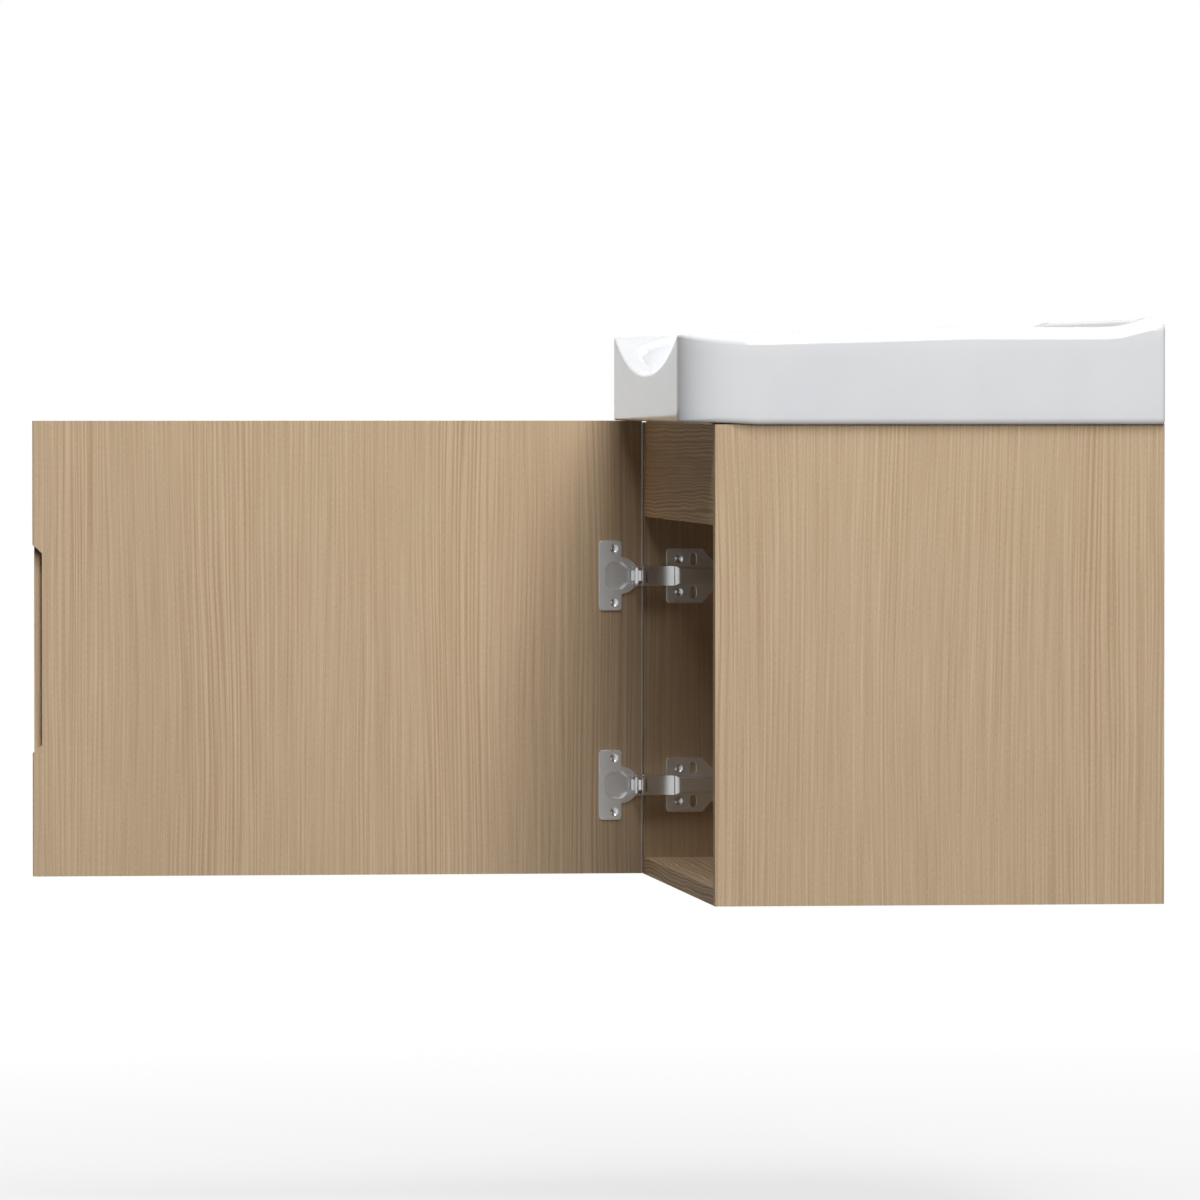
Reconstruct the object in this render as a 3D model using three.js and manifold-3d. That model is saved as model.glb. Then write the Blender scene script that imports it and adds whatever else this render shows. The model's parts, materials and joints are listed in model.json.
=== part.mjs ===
import * as THREE from "three";
import { mergeVertices } from "three/addons/utils/BufferGeometryUtils.js";
import Module from "manifold-3d";

const wasm = await Module();
wasm.setup();

// A wall-hung vanity unit: a washbasin with a dipped front rim on a board cabinet with one side-hung door.
// Millimetres. X runs along the wall, Y points into the wall and Z up. The wall is the plane Y = 0.
// The door is drawn open at a right angle, on its two concealed hinges at the left.

// Overall sizes
const BASIN_WIDTH = 600;
const BASIN_DEPTH = 442;
const CABINET_HEIGHT = 436;
const BASIN_SIDE_OVERHANG = 5;
const BASIN_FRONT_OVERHANG = 31;

// Cabinet
const BOARD = 16;
const CABINET_WIDTH = BASIN_WIDTH - 2 * BASIN_SIDE_OVERHANG;
const CABINET_DEPTH = BASIN_DEPTH - BASIN_FRONT_OVERHANG;
const FRONT_RAIL_HEIGHT = 91;
const UPPER_RAIL_HEIGHT = 90;
const LOWER_RAIL_HEIGHT = 64;
const HANGER_NOTCH_WIDTH = 30;
const HANGER_NOTCH_HEIGHT = 46;

// Door and its finger pull
const DOOR_BOTTOM = 0.5;
const DOOR_TOP_RISE = 1.5;
const DOOR_HEIGHT = CABINET_HEIGHT + DOOR_TOP_RISE - DOOR_BOTTOM;
const DOOR_REVEAL = 1.5;
const DOOR_OPEN_OFFSET = 1;
const DOOR_OPEN_GAP = 1.75;
const PULL_LENGTH = 200;
const PULL_CENTRE = DOOR_HEIGHT / 2;
const PULL_DEPTH = 8.4;
const PULL_SLOPE = 8;
const PULL_LIP = 6;
const PULL_LIP_SETBACK = 1.6;

// Basin outline and rim
const BASIN_FRONT_HEIGHT = 81.5;
const RIM_RISE = 6.8;
const RIM_LEVEL_START = 188;
const RIM_FALL_POWER = 0.85;
const UPSTAND_RISE = 8;
const UPSTAND_DEPTH = 20;
const UPSTAND_SWEEP = 48;
const UPSTAND_SWEEP_POWER = 3.5;
const FRONT_CORNER_X = 33;
const FRONT_CORNER_Y = 68;
const BACK_CORNER = 4;
const RIM_ROUND = 12;
const FOOT_ROUND = 5;
const BACK_INSET_SHARE = 0.25;
const RIM_INNER_INSET = 31;
const DIP_DEPTH = 38;
const DIP_HALF_SPAN = 260;
const DIP_WIDTH_POWER = 2.6;
const DIP_ROUND_POWER = 1.2;
const SOFFIT_RISE = 2.6;
const SOFFIT_CLEARANCE = 0.5;

// Bowl and tap deck
const BOWL_SIDE_RIM = 36;
const BOWL_HALF_WIDTH = BASIN_WIDTH / 2 - BOWL_SIDE_RIM;
const BOWL_FRONT_RIM = 26;
const BOWL_BACK = 116;
const BOWL_CORNER = 62;
const BOWL_FLOOR_CORNER = 30;
const BOWL_FLOOR = 40;
const BOWL_FALL = 4;
const BOWL_SIDE_RUN = 84;
const BOWL_FRONT_RUN = 150;
const BOWL_BACK_RUN = 60;
const BOWL_WALL = 9;
const BOWL_CUT_TOP = 30;
const DECK_HEIGHT = 83;
const DECK_BACK = 24;
const DECK_CORNER = 14;
const DECK_THICKNESS = 14;
const DECK_HOLLOW_HALF_WIDTH = 255;
const DECK_HOLLOW_FRONT = 98;
const TAP_HOLE_RADIUS = 17.5;
const TAP_HOLE_FROM_WALL = 70;
const WASTE_HOLE_RADIUS = 23;
const WASTE_BOSS_RADIUS = 38;
const WASTE_BOSS_DROP = 70;

// Hinge places, from the side panel's inner face and the cabinet's front edge, or from the door's edge
const LOWER_HINGE_RISE = 86;
const UPPER_HINGE_DROP = 148;
const HINGE_HEIGHTS = { lower: LOWER_HINGE_RISE, upper: CABINET_HEIGHT - UPPER_HINGE_DROP };
const OUTER_PIN_IN = 6.46;
const OUTER_PIN_FRONT = 1.27;
const INNER_PIN_IN = 11.96;
const INNER_PIN_FRONT = 8.36;
const CUP_PIN_FROM_EDGE = 8.88;
const CUP_PIN_DEPTH = 1.05;
const TRUNNION_FROM_EDGE = 12.45;
const TRUNNION_DEPTH = 3.4;

// Hinge cup
const CUP_FROM_EDGE = 20.95;
const CUP_RADIUS = 17.5;
const CUP_DEPTH = 12;
const CUP_RIM_RADIUS = 18;
const CUP_FLOOR = 1.2;
const FLANGE_THICKNESS = 1.2;
const FLANGE_START = 19.85;
const FLANGE_WIDTH = 21.7;
const FLANGE_HEIGHT = 67.2;
const FLANGE_CORNER = 3;
const FLANGE_SCREW_FROM_EDGE = 27.05;
const FLANGE_SCREW_PITCH = 52;
const PAN_START = 13.35;
const PAN_LENGTH = 22.6;
const PAN_HALF_WIDTH = 13;
const PAN_CHAMFER = 6;
const SLOT_START = 6.05;
const SLOT_HALF_WIDTH = 8.1;
const NOTCH_START = 2.85;
const NOTCH_DEPTH = 2.6;

// Hinge arm, links and pins
const ARM_SHEET = 1.2;
const ARM_HEAD_HALF_WIDTH = 9.4;
const ARM_REAR_HALF_WIDTH = 6.75;
const ARM_HEAD_TOP = 14;
const ARM_REAR_TOP = 11.5;
const ARM_UNDERSIDE = 2;
const ARM_BAR_FRONT = 2.3;
const ARM_WINDOW_LENGTH = 2.1;
const ARM_WINDOW_HALF_WIDTH = 6.6;
const ARM_HEAD_LENGTH = 16.5;
const ARM_BEND_LENGTH = 11.5;
const ARM_NECK_START = 28.9;
const ARM_NECK_LENGTH = 5.5;
const ARM_END = 79;
const EAR_MARGIN = 2.2;
const EAR_STEP_BACK = 5;
const LINK_HALF_THICKNESS = 1;
const OUTER_LINK_HALF_WIDTH = 5;
const KNUCKLE_RADIUS = 2;
const INNER_LEG_INSIDE = 5.7;
const INNER_LEG_THICKNESS = 1.4;
const INNER_LEG_HALF_THICKNESS = 0.7;
const TRUNNION_RADIUS = 0.75;
const TRUNNION_LENGTH = 0.6;
const PIN_RADIUS = 1;
const PIN_HOLD = 0.4;
const CUP_PIN_BITE = 2;

// Hinge mounting plate
const PLATE_START = 22;
const PLATE_LENGTH = 54;
const PLATE_HALF_HEIGHT = 26.2;
const PLATE_THICKNESS = 1.5;
const PLATE_CORNER = 3.5;
const PLATE_TAPER_START = 34.8;
const PLATE_TAPER_LENGTH = 8.7;
const PLATE_TAIL_HALF_HEIGHT = 16;
const PLATE_SCREW_START = 11.8;
const PLATE_SCREW_PITCH = 32;
const PLATE_SLOT_START = 25.8;
const PLATE_SLOT_WIDTH = 6;
const PLATE_SLOT_LENGTH = 11.5;
const RAIL_START = 9;
const RAIL_END_MARGIN = 2;
const ARM_SCREW_FROM_END = 8;
const ARM_SCREW_HEAD_RADIUS = 3.4;
const ARM_SCREW_HEAD_HEIGHT = 1.8;
const ARM_SCREW_RADIUS = 2;
const ARM_SCREW_LENGTH = 8;

// Countersunk wood screws
const SCREW_HEAD_RADIUS = 3.8;
const SCREW_RADIUS = 1.6;
const SCREW_LENGTH = 12;
const SCREW_TIP = 2.4;
const SCREW_SINK = 0.1;
const RECESS_WIDTH = 0.9;
const RECESS_LENGTH = 3.6;
const RECESS_DEPTH = 1.4;

// Cam fittings that join the boards
const CAM_RADIUS = 7.3;
const CAM_LENGTH = 12;
const CAM_FROM_JOINT = 34;
const CAM_SLOT_RADIUS = 3.7;
const CAM_SLOT_PAST_CENTRE = 3.5;
const CAM_FACE_SINK = 0.3;
const BOLT_HEAD_RADIUS = 3.2;
const BOLT_HEAD_LENGTH = 2.4;
const BOLT_NECK_RADIUS = 2;
const BOLT_NECK_LENGTH = 5;
const BOLT_RADIUS = 3;
const BOLT_IN_PANEL = 11;
const CAM_FRONT_INSET = 60;
const CAM_BACK_INSET = 70;
const UPPER_RAIL_CAM_DROP = 68;

// Hanging brackets
const HANGER_SHEET = 2;
const HANGER_PLATE_LENGTH = 46;
const HANGER_PLATE_HEIGHT = 36;
const HANGER_TOP_GAP = 6;
const HANGER_WEB_WIDTH = 24;
const HANGER_HOOK_GAP = 6;
const HANGER_WALL_GAP = 6;
const HANGER_TAB_HEIGHT = 28;
const HANGER_SCREW_PITCH = 22;
const HANGER_SCREW_FROM_FRONT = 12;

// Clearances, cut overruns and facets
const FIT = 0.2;
const PIN_FIT = 0.15;
const CUP_FIT = 0.3;
const OVERRUN = 1;
const WELD = 1e-3;
const SMALL_FACETS = 8;
const SCREW_FACETS = 10;
const CAM_FACETS = 16;
const ROUND_FACETS = 24;
const CORNER_STEPS = 6;
const SIDE_STEPS = 14;
const FRONT_STEPS = 28;
const ROUNDOVER_STEPS = 4;
const BOWL_STEPS = 6;

// Places that follow from the sizes above
const halfCabinet = CABINET_WIDTH / 2;
const innerHalf = halfCabinet - BOARD;
const midBoard = BOARD / 2;
const doorWidth = CABINET_WIDTH - 2 * DOOR_REVEAL;
const hangHeight = CABINET_HEIGHT - UPPER_RAIL_HEIGHT / 2;

const finishes = {
  wood: { color: 0xcbb08c, roughness: 0.62, metalness: 0 },
  ceramic: { color: 0xf3f4f5, roughness: 0.12, metalness: 0 },
  steel: { color: 0x9a9a98, roughness: 0.34, metalness: 1 },
  zinc: { color: 0xb8bcc0, roughness: 0.42, metalness: 1 },
};

// A named mesh with a material of its own
function piece(name, shape, finish) {
  const geometry = shape.isBufferGeometry ? shape : geometryOf(shape);
  geometry.computeVertexNormals();
  const mesh = new THREE.Mesh(geometry, new THREE.MeshStandardMaterial(finishes[finish]));
  mesh.name = name;
  return mesh;
}

// A closed geometry as a solid that can be joined and cut
function solid(geometry) {
  const bare = new THREE.BufferGeometry();
  const source = geometry.index ? geometry.toNonIndexed() : geometry;
  bare.setAttribute("position", source.getAttribute("position"));
  const merged = mergeVertices(bare, WELD);
  return new wasm.Manifold(
    new wasm.Mesh({
      numProp: 3,
      vertProperties: merged.attributes.position.array,
      triVerts: new Uint32Array(merged.index.array),
    }),
  );
}

// A solid's surface as a flat-shaded geometry
function geometryOf(body) {
  const mesh = body.getMesh();
  const indexed = new THREE.BufferGeometry();
  indexed.setAttribute("position", new THREE.BufferAttribute(mesh.vertProperties, 3));
  indexed.setIndex(new THREE.BufferAttribute(mesh.triVerts, 1));
  return indexed.toNonIndexed();
}

function joined(...bodies) {
  return bodies.reduce((whole, body) => whole.add(body));
}

function cut(body, ...tools) {
  return tools.reduce((rest, tool) => rest.subtract(tool), body);
}

// A box between two corners
function block([x0, y0, z0], [x1, y1, z1]) {
  const geometry = new THREE.BoxGeometry(x1 - x0, y1 - y0, z1 - z0);
  geometry.translate((x0 + x1) / 2, (y0 + y1) / 2, (z0 + z1) / 2);
  return solid(geometry);
}

// A flat outline in X and Y, drawn up from z0 to z1
function slabZ(outline, z0, z1) {
  const geometry = new THREE.ExtrudeGeometry(outline, {
    depth: z1 - z0,
    bevelEnabled: false,
    curveSegments: CORNER_STEPS,
  });
  geometry.translate(0, 0, z0);
  return solid(geometry);
}

// A flat outline in Y and Z, drawn along X from x0 to x1
function slabX(outline, x0, x1) {
  const geometry = new THREE.ExtrudeGeometry(outline, {
    depth: x1 - x0,
    bevelEnabled: false,
    curveSegments: CORNER_STEPS,
  });
  const turn = new THREE.Matrix4().makeBasis(
    new THREE.Vector3(0, 1, 0),
    new THREE.Vector3(0, 0, 1),
    new THREE.Vector3(1, 0, 0),
  );
  geometry.applyMatrix4(turn);
  geometry.translate(x0, 0, 0);
  return solid(geometry);
}

function outlineOf(points) {
  return new THREE.Shape(points.map(([x, y]) => new THREE.Vector2(x, y)));
}

// A turned piece about the Z axis, from radius and height pairs that start and end on the axis
function turned(profile, facets) {
  const points = profile.map(([radius, height]) => new THREE.Vector2(radius, height));
  return new THREE.LatheGeometry(points, facets).rotateX(Math.PI / 2);
}

// A round bar about the Z axis
function bar(radius, z0, z1, facets) {
  return turned([[0, z0], [radius, z0], [radius, z1], [0, z1]], facets);
}

// The same bar upright at a place in X and Y, as a solid
function post(x, y, radius, z0, z1, facets = SMALL_FACETS) {
  return solid(bar(radius, z0, z1, facets).translate(x, y, 0));
}

// A turned geometry, its axis laid along X with its outer end towards +X or -X
function alongX(geometry, direction = 1) {
  return geometry.rotateY((direction * Math.PI) / 2);
}

// Rings of equal point counts, skinned from the first to the last and closed by a fan at each end
function lofted(rings, firstCentre, lastCentre) {
  const count = rings[0].length;
  const places = [...rings.flat(), firstCentre, lastCentre];
  const first = rings.length * count;
  const triangles = [];
  for (let ring = 0; ring + 1 < rings.length; ring += 1) {
    for (let i = 0; i < count; i += 1) {
      const next = (i + 1) % count;
      const low = ring * count;
      const high = low + count;
      triangles.push(low + i, low + next, high + next);
      triangles.push(low + i, high + next, high + i);
    }
  }
  const top = first - count;
  for (let i = 0; i < count; i += 1) {
    const next = (i + 1) % count;
    triangles.push(first, next, i);
    triangles.push(first + 1, top + i, top + next);
  }
  const geometry = new THREE.BufferGeometry().setFromPoints(places);
  geometry.setIndex(triangles);
  return solid(geometry);
}

// Basin outline, counter-clockwise from the back left, moved in by an inset on all sides
function basinOutline(inset) {
  const points = [];
  const half = BASIN_WIDTH / 2;
  const back = -inset * BACK_INSET_SHARE;
  const backCorner = BACK_CORNER;
  const sideX = half - inset;
  const flatHalf = half - FRONT_CORNER_X;
  const cornerY = -BASIN_DEPTH + FRONT_CORNER_Y;
  const front = -BASIN_DEPTH + inset;
  points.push([-sideX + backCorner, back]);
  points.push([-sideX, back - backCorner]);
  for (let i = 1; i <= SIDE_STEPS; i += 1) {
    const along = (i / SIDE_STEPS) ** 2;
    points.push([-sideX, back - backCorner + (cornerY - back + backCorner) * along]);
  }
  for (let i = 1; i < CORNER_STEPS; i += 1) {
    const angle = ((i / CORNER_STEPS) * Math.PI) / 2;
    const x = flatHalf + (FRONT_CORNER_X - inset) * Math.cos(angle);
    points.push([-x, cornerY - (FRONT_CORNER_Y - inset) * Math.sin(angle)]);
  }
  for (let i = 0; i <= FRONT_STEPS; i += 1) {
    const swing = ((i / FRONT_STEPS) * 2 - 1) * (Math.PI / 2);
    points.push([flatHalf * Math.sin(swing), front]);
  }
  const left = points.slice(0, 1 + SIDE_STEPS + CORNER_STEPS);
  left.reverse().forEach(([x, y]) => points.push([-x, y]));
  return points;
}

// Height of the rim's top over the cabinet's top at a place in plan
function rimHeight(x, y) {
  const fromWall = -y;
  let height = BASIN_FRONT_HEIGHT + RIM_RISE;
  if (fromWall > RIM_LEVEL_START) {
    const along = (fromWall - RIM_LEVEL_START) / (BASIN_DEPTH - RIM_LEVEL_START);
    height -= RIM_RISE * along ** RIM_FALL_POWER;
  }
  const sweep = (UPSTAND_DEPTH + UPSTAND_SWEEP - fromWall) / UPSTAND_SWEEP;
  height += UPSTAND_RISE * Math.min(Math.max(sweep, 0), 1) ** UPSTAND_SWEEP_POWER;
  const acrossDip = Math.abs(x) / DIP_HALF_SPAN;
  const atFront = fromWall > BASIN_DEPTH - FRONT_CORNER_Y;
  if (atFront && acrossDip < 1) {
    height -= DIP_DEPTH * (1 - acrossDip ** DIP_WIDTH_POWER) ** DIP_ROUND_POWER;
  }
  return height;
}

// Height of the basin's lower edge, which is raised in front of the cabinet so that the door passes
function footHeight(y) {
  const along = (-y - (BASIN_DEPTH - FRONT_CORNER_Y)) / (CABINET_DEPTH - (BASIN_DEPTH - FRONT_CORNER_Y));
  return SOFFIT_RISE * Math.min(Math.max(along, 0), 1);
}

// The basin's outer body, from its foot over the rounded rim
function basinBody() {
  const rings = [];
  const ring = (inset, heightAt) =>
    basinOutline(inset).map(([x, y]) => new THREE.Vector3(x, y, heightAt(x, y)));
  rings.push(ring(RIM_INNER_INSET, () => 0));
  for (let i = 0; i <= ROUNDOVER_STEPS; i += 1) {
    const angle = ((i / ROUNDOVER_STEPS) * Math.PI) / 2;
    const inset = FOOT_ROUND * (1 - Math.sin(angle));
    const rise = FOOT_ROUND * (1 - Math.cos(angle));
    rings.push(ring(inset, (x, y) => footHeight(y) + rise));
  }
  for (let i = 0; i <= ROUNDOVER_STEPS; i += 1) {
    const angle = ((i / ROUNDOVER_STEPS) * Math.PI) / 2;
    const inset = RIM_ROUND * (1 - Math.cos(angle));
    const drop = RIM_ROUND * (1 - Math.sin(angle));
    rings.push(ring(inset, (x, y) => rimHeight(x, y) - drop));
  }
  rings.push(ring(RIM_INNER_INSET, rimHeight));
  const middle = -BASIN_DEPTH / 2;
  const top = BASIN_FRONT_HEIGHT + RIM_RISE + UPSTAND_RISE;
  return lofted(rings, new THREE.Vector3(0, middle, 0), new THREE.Vector3(0, middle, top));
}

// A rounded rectangle in plan, counter-clockwise, between the sides -x and x and from front to back
function roundedPlan(half, front, back, corner, height) {
  const points = [];
  const corners = [
    [half - corner, back - corner, 0],
    [-half + corner, back - corner, 1],
    [-half + corner, front + corner, 2],
    [half - corner, front + corner, 3],
  ];
  corners.forEach(([x, y, quarter]) => {
    for (let i = 0; i <= CORNER_STEPS; i += 1) {
      const angle = ((quarter + i / CORNER_STEPS) * Math.PI) / 2;
      points.push(new THREE.Vector3(x + corner * Math.cos(angle), y + corner * Math.sin(angle), height));
    }
  });
  return points;
}

// The bowl's surface, elliptic from its floor up to a top height and moved outwards and down by a wall
function bowlBody(wall, topHeight) {
  const depth = BASIN_FRONT_HEIGHT + RIM_RISE + BOWL_FLOOR;
  const start = Math.asin(Math.max((depth - BOWL_FLOOR - topHeight) / (depth + wall), 0));
  const rings = [];
  for (let i = BOWL_STEPS; i >= 0; i -= 1) {
    const angle = start + (Math.PI / 2 - start) * (i / BOWL_STEPS);
    const inset = 1 - Math.cos(angle);
    const out = wall * Math.cos(angle);
    rings.push(
      roundedPlan(
        BOWL_HALF_WIDTH - inset * BOWL_SIDE_RUN + out,
        -BASIN_DEPTH + BOWL_FRONT_RIM + inset * BOWL_FRONT_RUN - out,
        -BOWL_BACK - inset * BOWL_BACK_RUN + out,
        BOWL_CORNER - inset * (BOWL_CORNER - BOWL_FLOOR_CORNER) + out,
        depth - BOWL_FLOOR - (depth + wall) * Math.sin(angle),
      ),
    );
  }
  const last = rings[rings.length - 1];
  if (last[0].z < topHeight) rings.push(last.map((place) => place.clone().setZ(topHeight)));
  const middle = wastePlace();
  const floor = new THREE.Vector3(0, middle, -BOWL_FLOOR - BOWL_FALL - wall);
  return lofted(rings, floor, new THREE.Vector3(0, middle, topHeight));
}

// The waste hole is at the middle of the bowl's floor
function wastePlace() {
  const floorFront = -BASIN_DEPTH + BOWL_FRONT_RIM + BOWL_FRONT_RUN;
  const floorBack = -BOWL_BACK - BOWL_BACK_RUN;
  return (floorFront + floorBack) / 2;
}

function basin() {
  const deckHollow = block(
    [-DECK_HOLLOW_HALF_WIDTH, -DECK_HOLLOW_FRONT, -OVERRUN],
    [DECK_HOLLOW_HALF_WIDTH, -BOARD, DECK_HEIGHT - DECK_THICKNESS],
  );
  const soffit = block(
    [-BASIN_WIDTH, -BASIN_DEPTH - OVERRUN, -OVERRUN],
    [BASIN_WIDTH, -CABINET_DEPTH - SOFFIT_CLEARANCE, SOFFIT_RISE],
  );
  const deckTop = DECK_HEIGHT + BOWL_CUT_TOP;
  const deckFront = -BOWL_BACK - BOWL_CORNER;
  const deckRings = [DECK_HEIGHT, deckTop].map((height) =>
    roundedPlan(BOWL_HALF_WIDTH, deckFront, -DECK_BACK, DECK_CORNER, height),
  );
  const deck = lofted(
    deckRings,
    new THREE.Vector3(0, -BOWL_BACK, DECK_HEIGHT),
    new THREE.Vector3(0, -BOWL_BACK, deckTop),
  );
  const wasteY = wastePlace();
  const bossTop = -BOWL_FLOOR;
  const boss = post(0, wasteY, WASTE_BOSS_RADIUS, -WASTE_BOSS_DROP, bossTop, ROUND_FACETS);
  const waste = post(0, wasteY, WASTE_HOLE_RADIUS, -WASTE_BOSS_DROP - OVERRUN, OVERRUN, ROUND_FACETS);
  const tap = post(0, -TAP_HOLE_FROM_WALL, TAP_HOLE_RADIUS, OVERRUN, deckTop, ROUND_FACETS);
  const shell = joined(cut(basinBody(), soffit, deckHollow), bowlBody(BOWL_WALL, OVERRUN), boss);
  const mesh = piece("basin", cut(shell, bowlBody(0, deckTop), deck, waste, tap), "ceramic");
  mesh.position.z = CABINET_HEIGHT;
  return mesh;
}

// Screw holes for countersunk screws that stand along X in a board's face at x
function pilot(x, y, z, depthDirection) {
  const hole = bar(SCREW_RADIUS + FIT, -OVERRUN, SCREW_LENGTH + FIT, SCREW_FACETS);
  return solid(alongX(hole, depthDirection).translate(x, y, z));
}

// A countersunk wood screw along X. Its head lies flush with a sheet of a given thickness on a board.
function woodScrew(name, sheet, direction) {
  const top = sheet - SCREW_SINK;
  const profile = [
    [0, -SCREW_LENGTH],
    [SCREW_RADIUS, SCREW_TIP - SCREW_LENGTH],
    [SCREW_RADIUS, 0],
    [SCREW_HEAD_RADIUS, top],
    [0, top],
  ];
  const recess = [0, 1].map((turn) => {
    const arm = new THREE.BoxGeometry(RECESS_LENGTH, RECESS_WIDTH, 2 * RECESS_DEPTH);
    return solid(arm.rotateZ((turn * Math.PI) / 2).translate(0, 0, top));
  });
  const body = cut(solid(turned(profile, SCREW_FACETS)), ...recess);
  return piece(name, alongX(geometryOf(body), direction), "zinc");
}

// The cone that a screw's head sinks into, in a sheet that lies on a board
function countersink(sheet, y, z, direction) {
  const profile = [
    [0, -OVERRUN],
    [SCREW_RADIUS + FIT, -OVERRUN],
    [SCREW_RADIUS + FIT, 0],
    [SCREW_HEAD_RADIUS + FIT, sheet],
    [SCREW_HEAD_RADIUS + FIT, sheet + OVERRUN],
    [0, sheet + OVERRUN],
  ];
  return solid(alongX(turned(profile, SCREW_FACETS), direction).translate(0, y, z));
}

// Where the cam fittings sit. The face direction is the one in which the cam can be reached.
const down = new THREE.Vector3(0, 0, -1);
const rearward = new THREE.Vector3(0, 1, 0);
const forward = new THREE.Vector3(0, -1, 0);
const camRows = [
  { board: "bottom_panel", label: "bottom_front", y: -CABINET_DEPTH + CAM_FRONT_INSET, z: 0, face: down },
  { board: "bottom_panel", label: "bottom_back", y: -CAM_BACK_INSET, z: 0, face: down },
  {
    board: "front_rail",
    label: "front_rail",
    y: -CABINET_DEPTH + BOARD,
    z: CABINET_HEIGHT - FRONT_RAIL_HEIGHT / 2,
    face: rearward,
  },
  {
    board: "upper_back_rail",
    label: "upper_rail",
    y: -BOARD,
    z: CABINET_HEIGHT - UPPER_RAIL_CAM_DROP,
    face: forward,
  },
  {
    board: "lower_back_rail",
    label: "lower_rail",
    y: -BOARD,
    z: BOARD + LOWER_RAIL_HEIGHT / 2,
    face: forward,
  },
];

// A cam's frame: Z out of its face, X towards the joint with the side panel
function camFrame({ y, z, face }, side) {
  const outward = new THREE.Vector3(side, 0, 0);
  const across = new THREE.Vector3().crossVectors(face, outward);
  const frame = new THREE.Matrix4().makeBasis(outward, across, face);
  return frame.setPosition(side * (innerHalf - CAM_FROM_JOINT), y, z);
}

// Bores for one cam and its bolt, in the frame of the cam
function camBores() {
  const bore = bar(CAM_RADIUS + FIT, -CAM_LENGTH - FIT, OVERRUN, CAM_FACETS);
  const reach = CAM_FROM_JOINT + BOLT_IN_PANEL + FIT;
  const run = alongX(bar(BOLT_RADIUS + FIT + FIT, 0, reach, SCREW_FACETS)).translate(0, 0, -midBoard);
  return [bore, run];
}

function cam(name) {
  const body = bar(CAM_RADIUS, -CAM_LENGTH, -CAM_FACE_SINK, CAM_FACETS);
  const slotEnd = CAM_RADIUS + OVERRUN;
  const slot = alongX(bar(CAM_SLOT_RADIUS, -CAM_SLOT_PAST_CENTRE, slotEnd, SCREW_FACETS));
  const recess = [0, 1].map((turn) => {
    const arm = new THREE.BoxGeometry(CAM_RADIUS, RECESS_WIDTH, 2 * RECESS_DEPTH);
    return solid(arm.rotateZ((turn * Math.PI) / 2).translate(0, 0, -CAM_FACE_SINK));
  });
  return piece(name, cut(solid(body), solid(slot.translate(0, 0, -midBoard)), ...recess), "zinc");
}

// A bolt from the middle of its cam into the side panel
function camBolt(name) {
  const collar = BOLT_HEAD_LENGTH + BOLT_NECK_LENGTH;
  const end = CAM_FROM_JOINT + BOLT_IN_PANEL;
  const profile = [
    [0, 0],
    [BOLT_HEAD_RADIUS, 0],
    [BOLT_HEAD_RADIUS, BOLT_HEAD_LENGTH],
    [BOLT_NECK_RADIUS, BOLT_HEAD_LENGTH],
    [BOLT_NECK_RADIUS, collar],
    [BOLT_RADIUS, collar],
    [BOLT_RADIUS, end],
    [0, end],
  ];
  const shape = alongX(turned(profile, SCREW_FACETS)).translate(0, 0, -midBoard);
  return piece(name, shape, "zinc");
}

const sides = { left: -1, right: 1 };

// All cam fittings, each in a group with its bolt
function camFittings() {
  const fittings = new THREE.Group();
  camRows.forEach((row) => {
    Object.entries(sides).forEach(([sideName, side]) => {
      const fitting = new THREE.Group();
      fitting.applyMatrix4(camFrame(row, side));
      fitting.add(cam(`${row.label}_cam_${sideName}`), camBolt(`${row.label}_bolt_${sideName}`));
      fittings.add(fitting);
    });
  });
  return fittings;
}

// The cam bores of one board, or of one side panel
function boresIn(board) {
  const tools = [];
  camRows.forEach((row) => {
    Object.entries(sides).forEach(([sideName, side]) => {
      if (row.board !== board && `${sideName}_side_panel` !== board) return;
      camBores().forEach((bore) => tools.push(solid(bore.applyMatrix4(camFrame(row, side)))));
    });
  });
  return tools;
}

// Heights of the hanging brackets' screws and their distance from the wall
function hangerScrewPlaces() {
  const middle = CABINET_HEIGHT - HANGER_TOP_GAP - HANGER_PLATE_HEIGHT / 2;
  const y = -BOARD - HANGER_PLATE_LENGTH + HANGER_SCREW_FROM_FRONT;
  return [-1, 1].map((step) => ({ y, z: middle + (step * HANGER_SCREW_PITCH) / 2 }));
}

// Places of the hinge plates' screws on the left side panel
function plateScrewPlaces() {
  const y = -CABINET_DEPTH + PLATE_START + PLATE_SCREW_START;
  return Object.values(HINGE_HEIGHTS).flatMap((height) =>
    [-1, 1].map((step) => ({ y, z: height + (step * PLATE_SCREW_PITCH) / 2 })),
  );
}

function sidePanel(sideName) {
  const side = sides[sideName];
  const name = `${sideName}_side_panel`;
  const inner = side * innerHalf;
  const outer = side * halfCabinet;
  const board = block(
    [Math.min(inner, outer), -CABINET_DEPTH, 0],
    [Math.max(inner, outer), 0, CABINET_HEIGHT],
  );
  const screws = side < 0 ? [...hangerScrewPlaces(), ...plateScrewPlaces()] : hangerScrewPlaces();
  const pilots = screws.map(({ y, z }) => pilot(inner, y, z, side));
  return piece(name, cut(board, ...boresIn(name), ...pilots), "wood");
}

function bottomPanel() {
  const board = block([-innerHalf, -CABINET_DEPTH, 0], [innerHalf, 0, BOARD]);
  return piece("bottom_panel", cut(board, ...boresIn("bottom_panel")), "wood");
}

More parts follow.
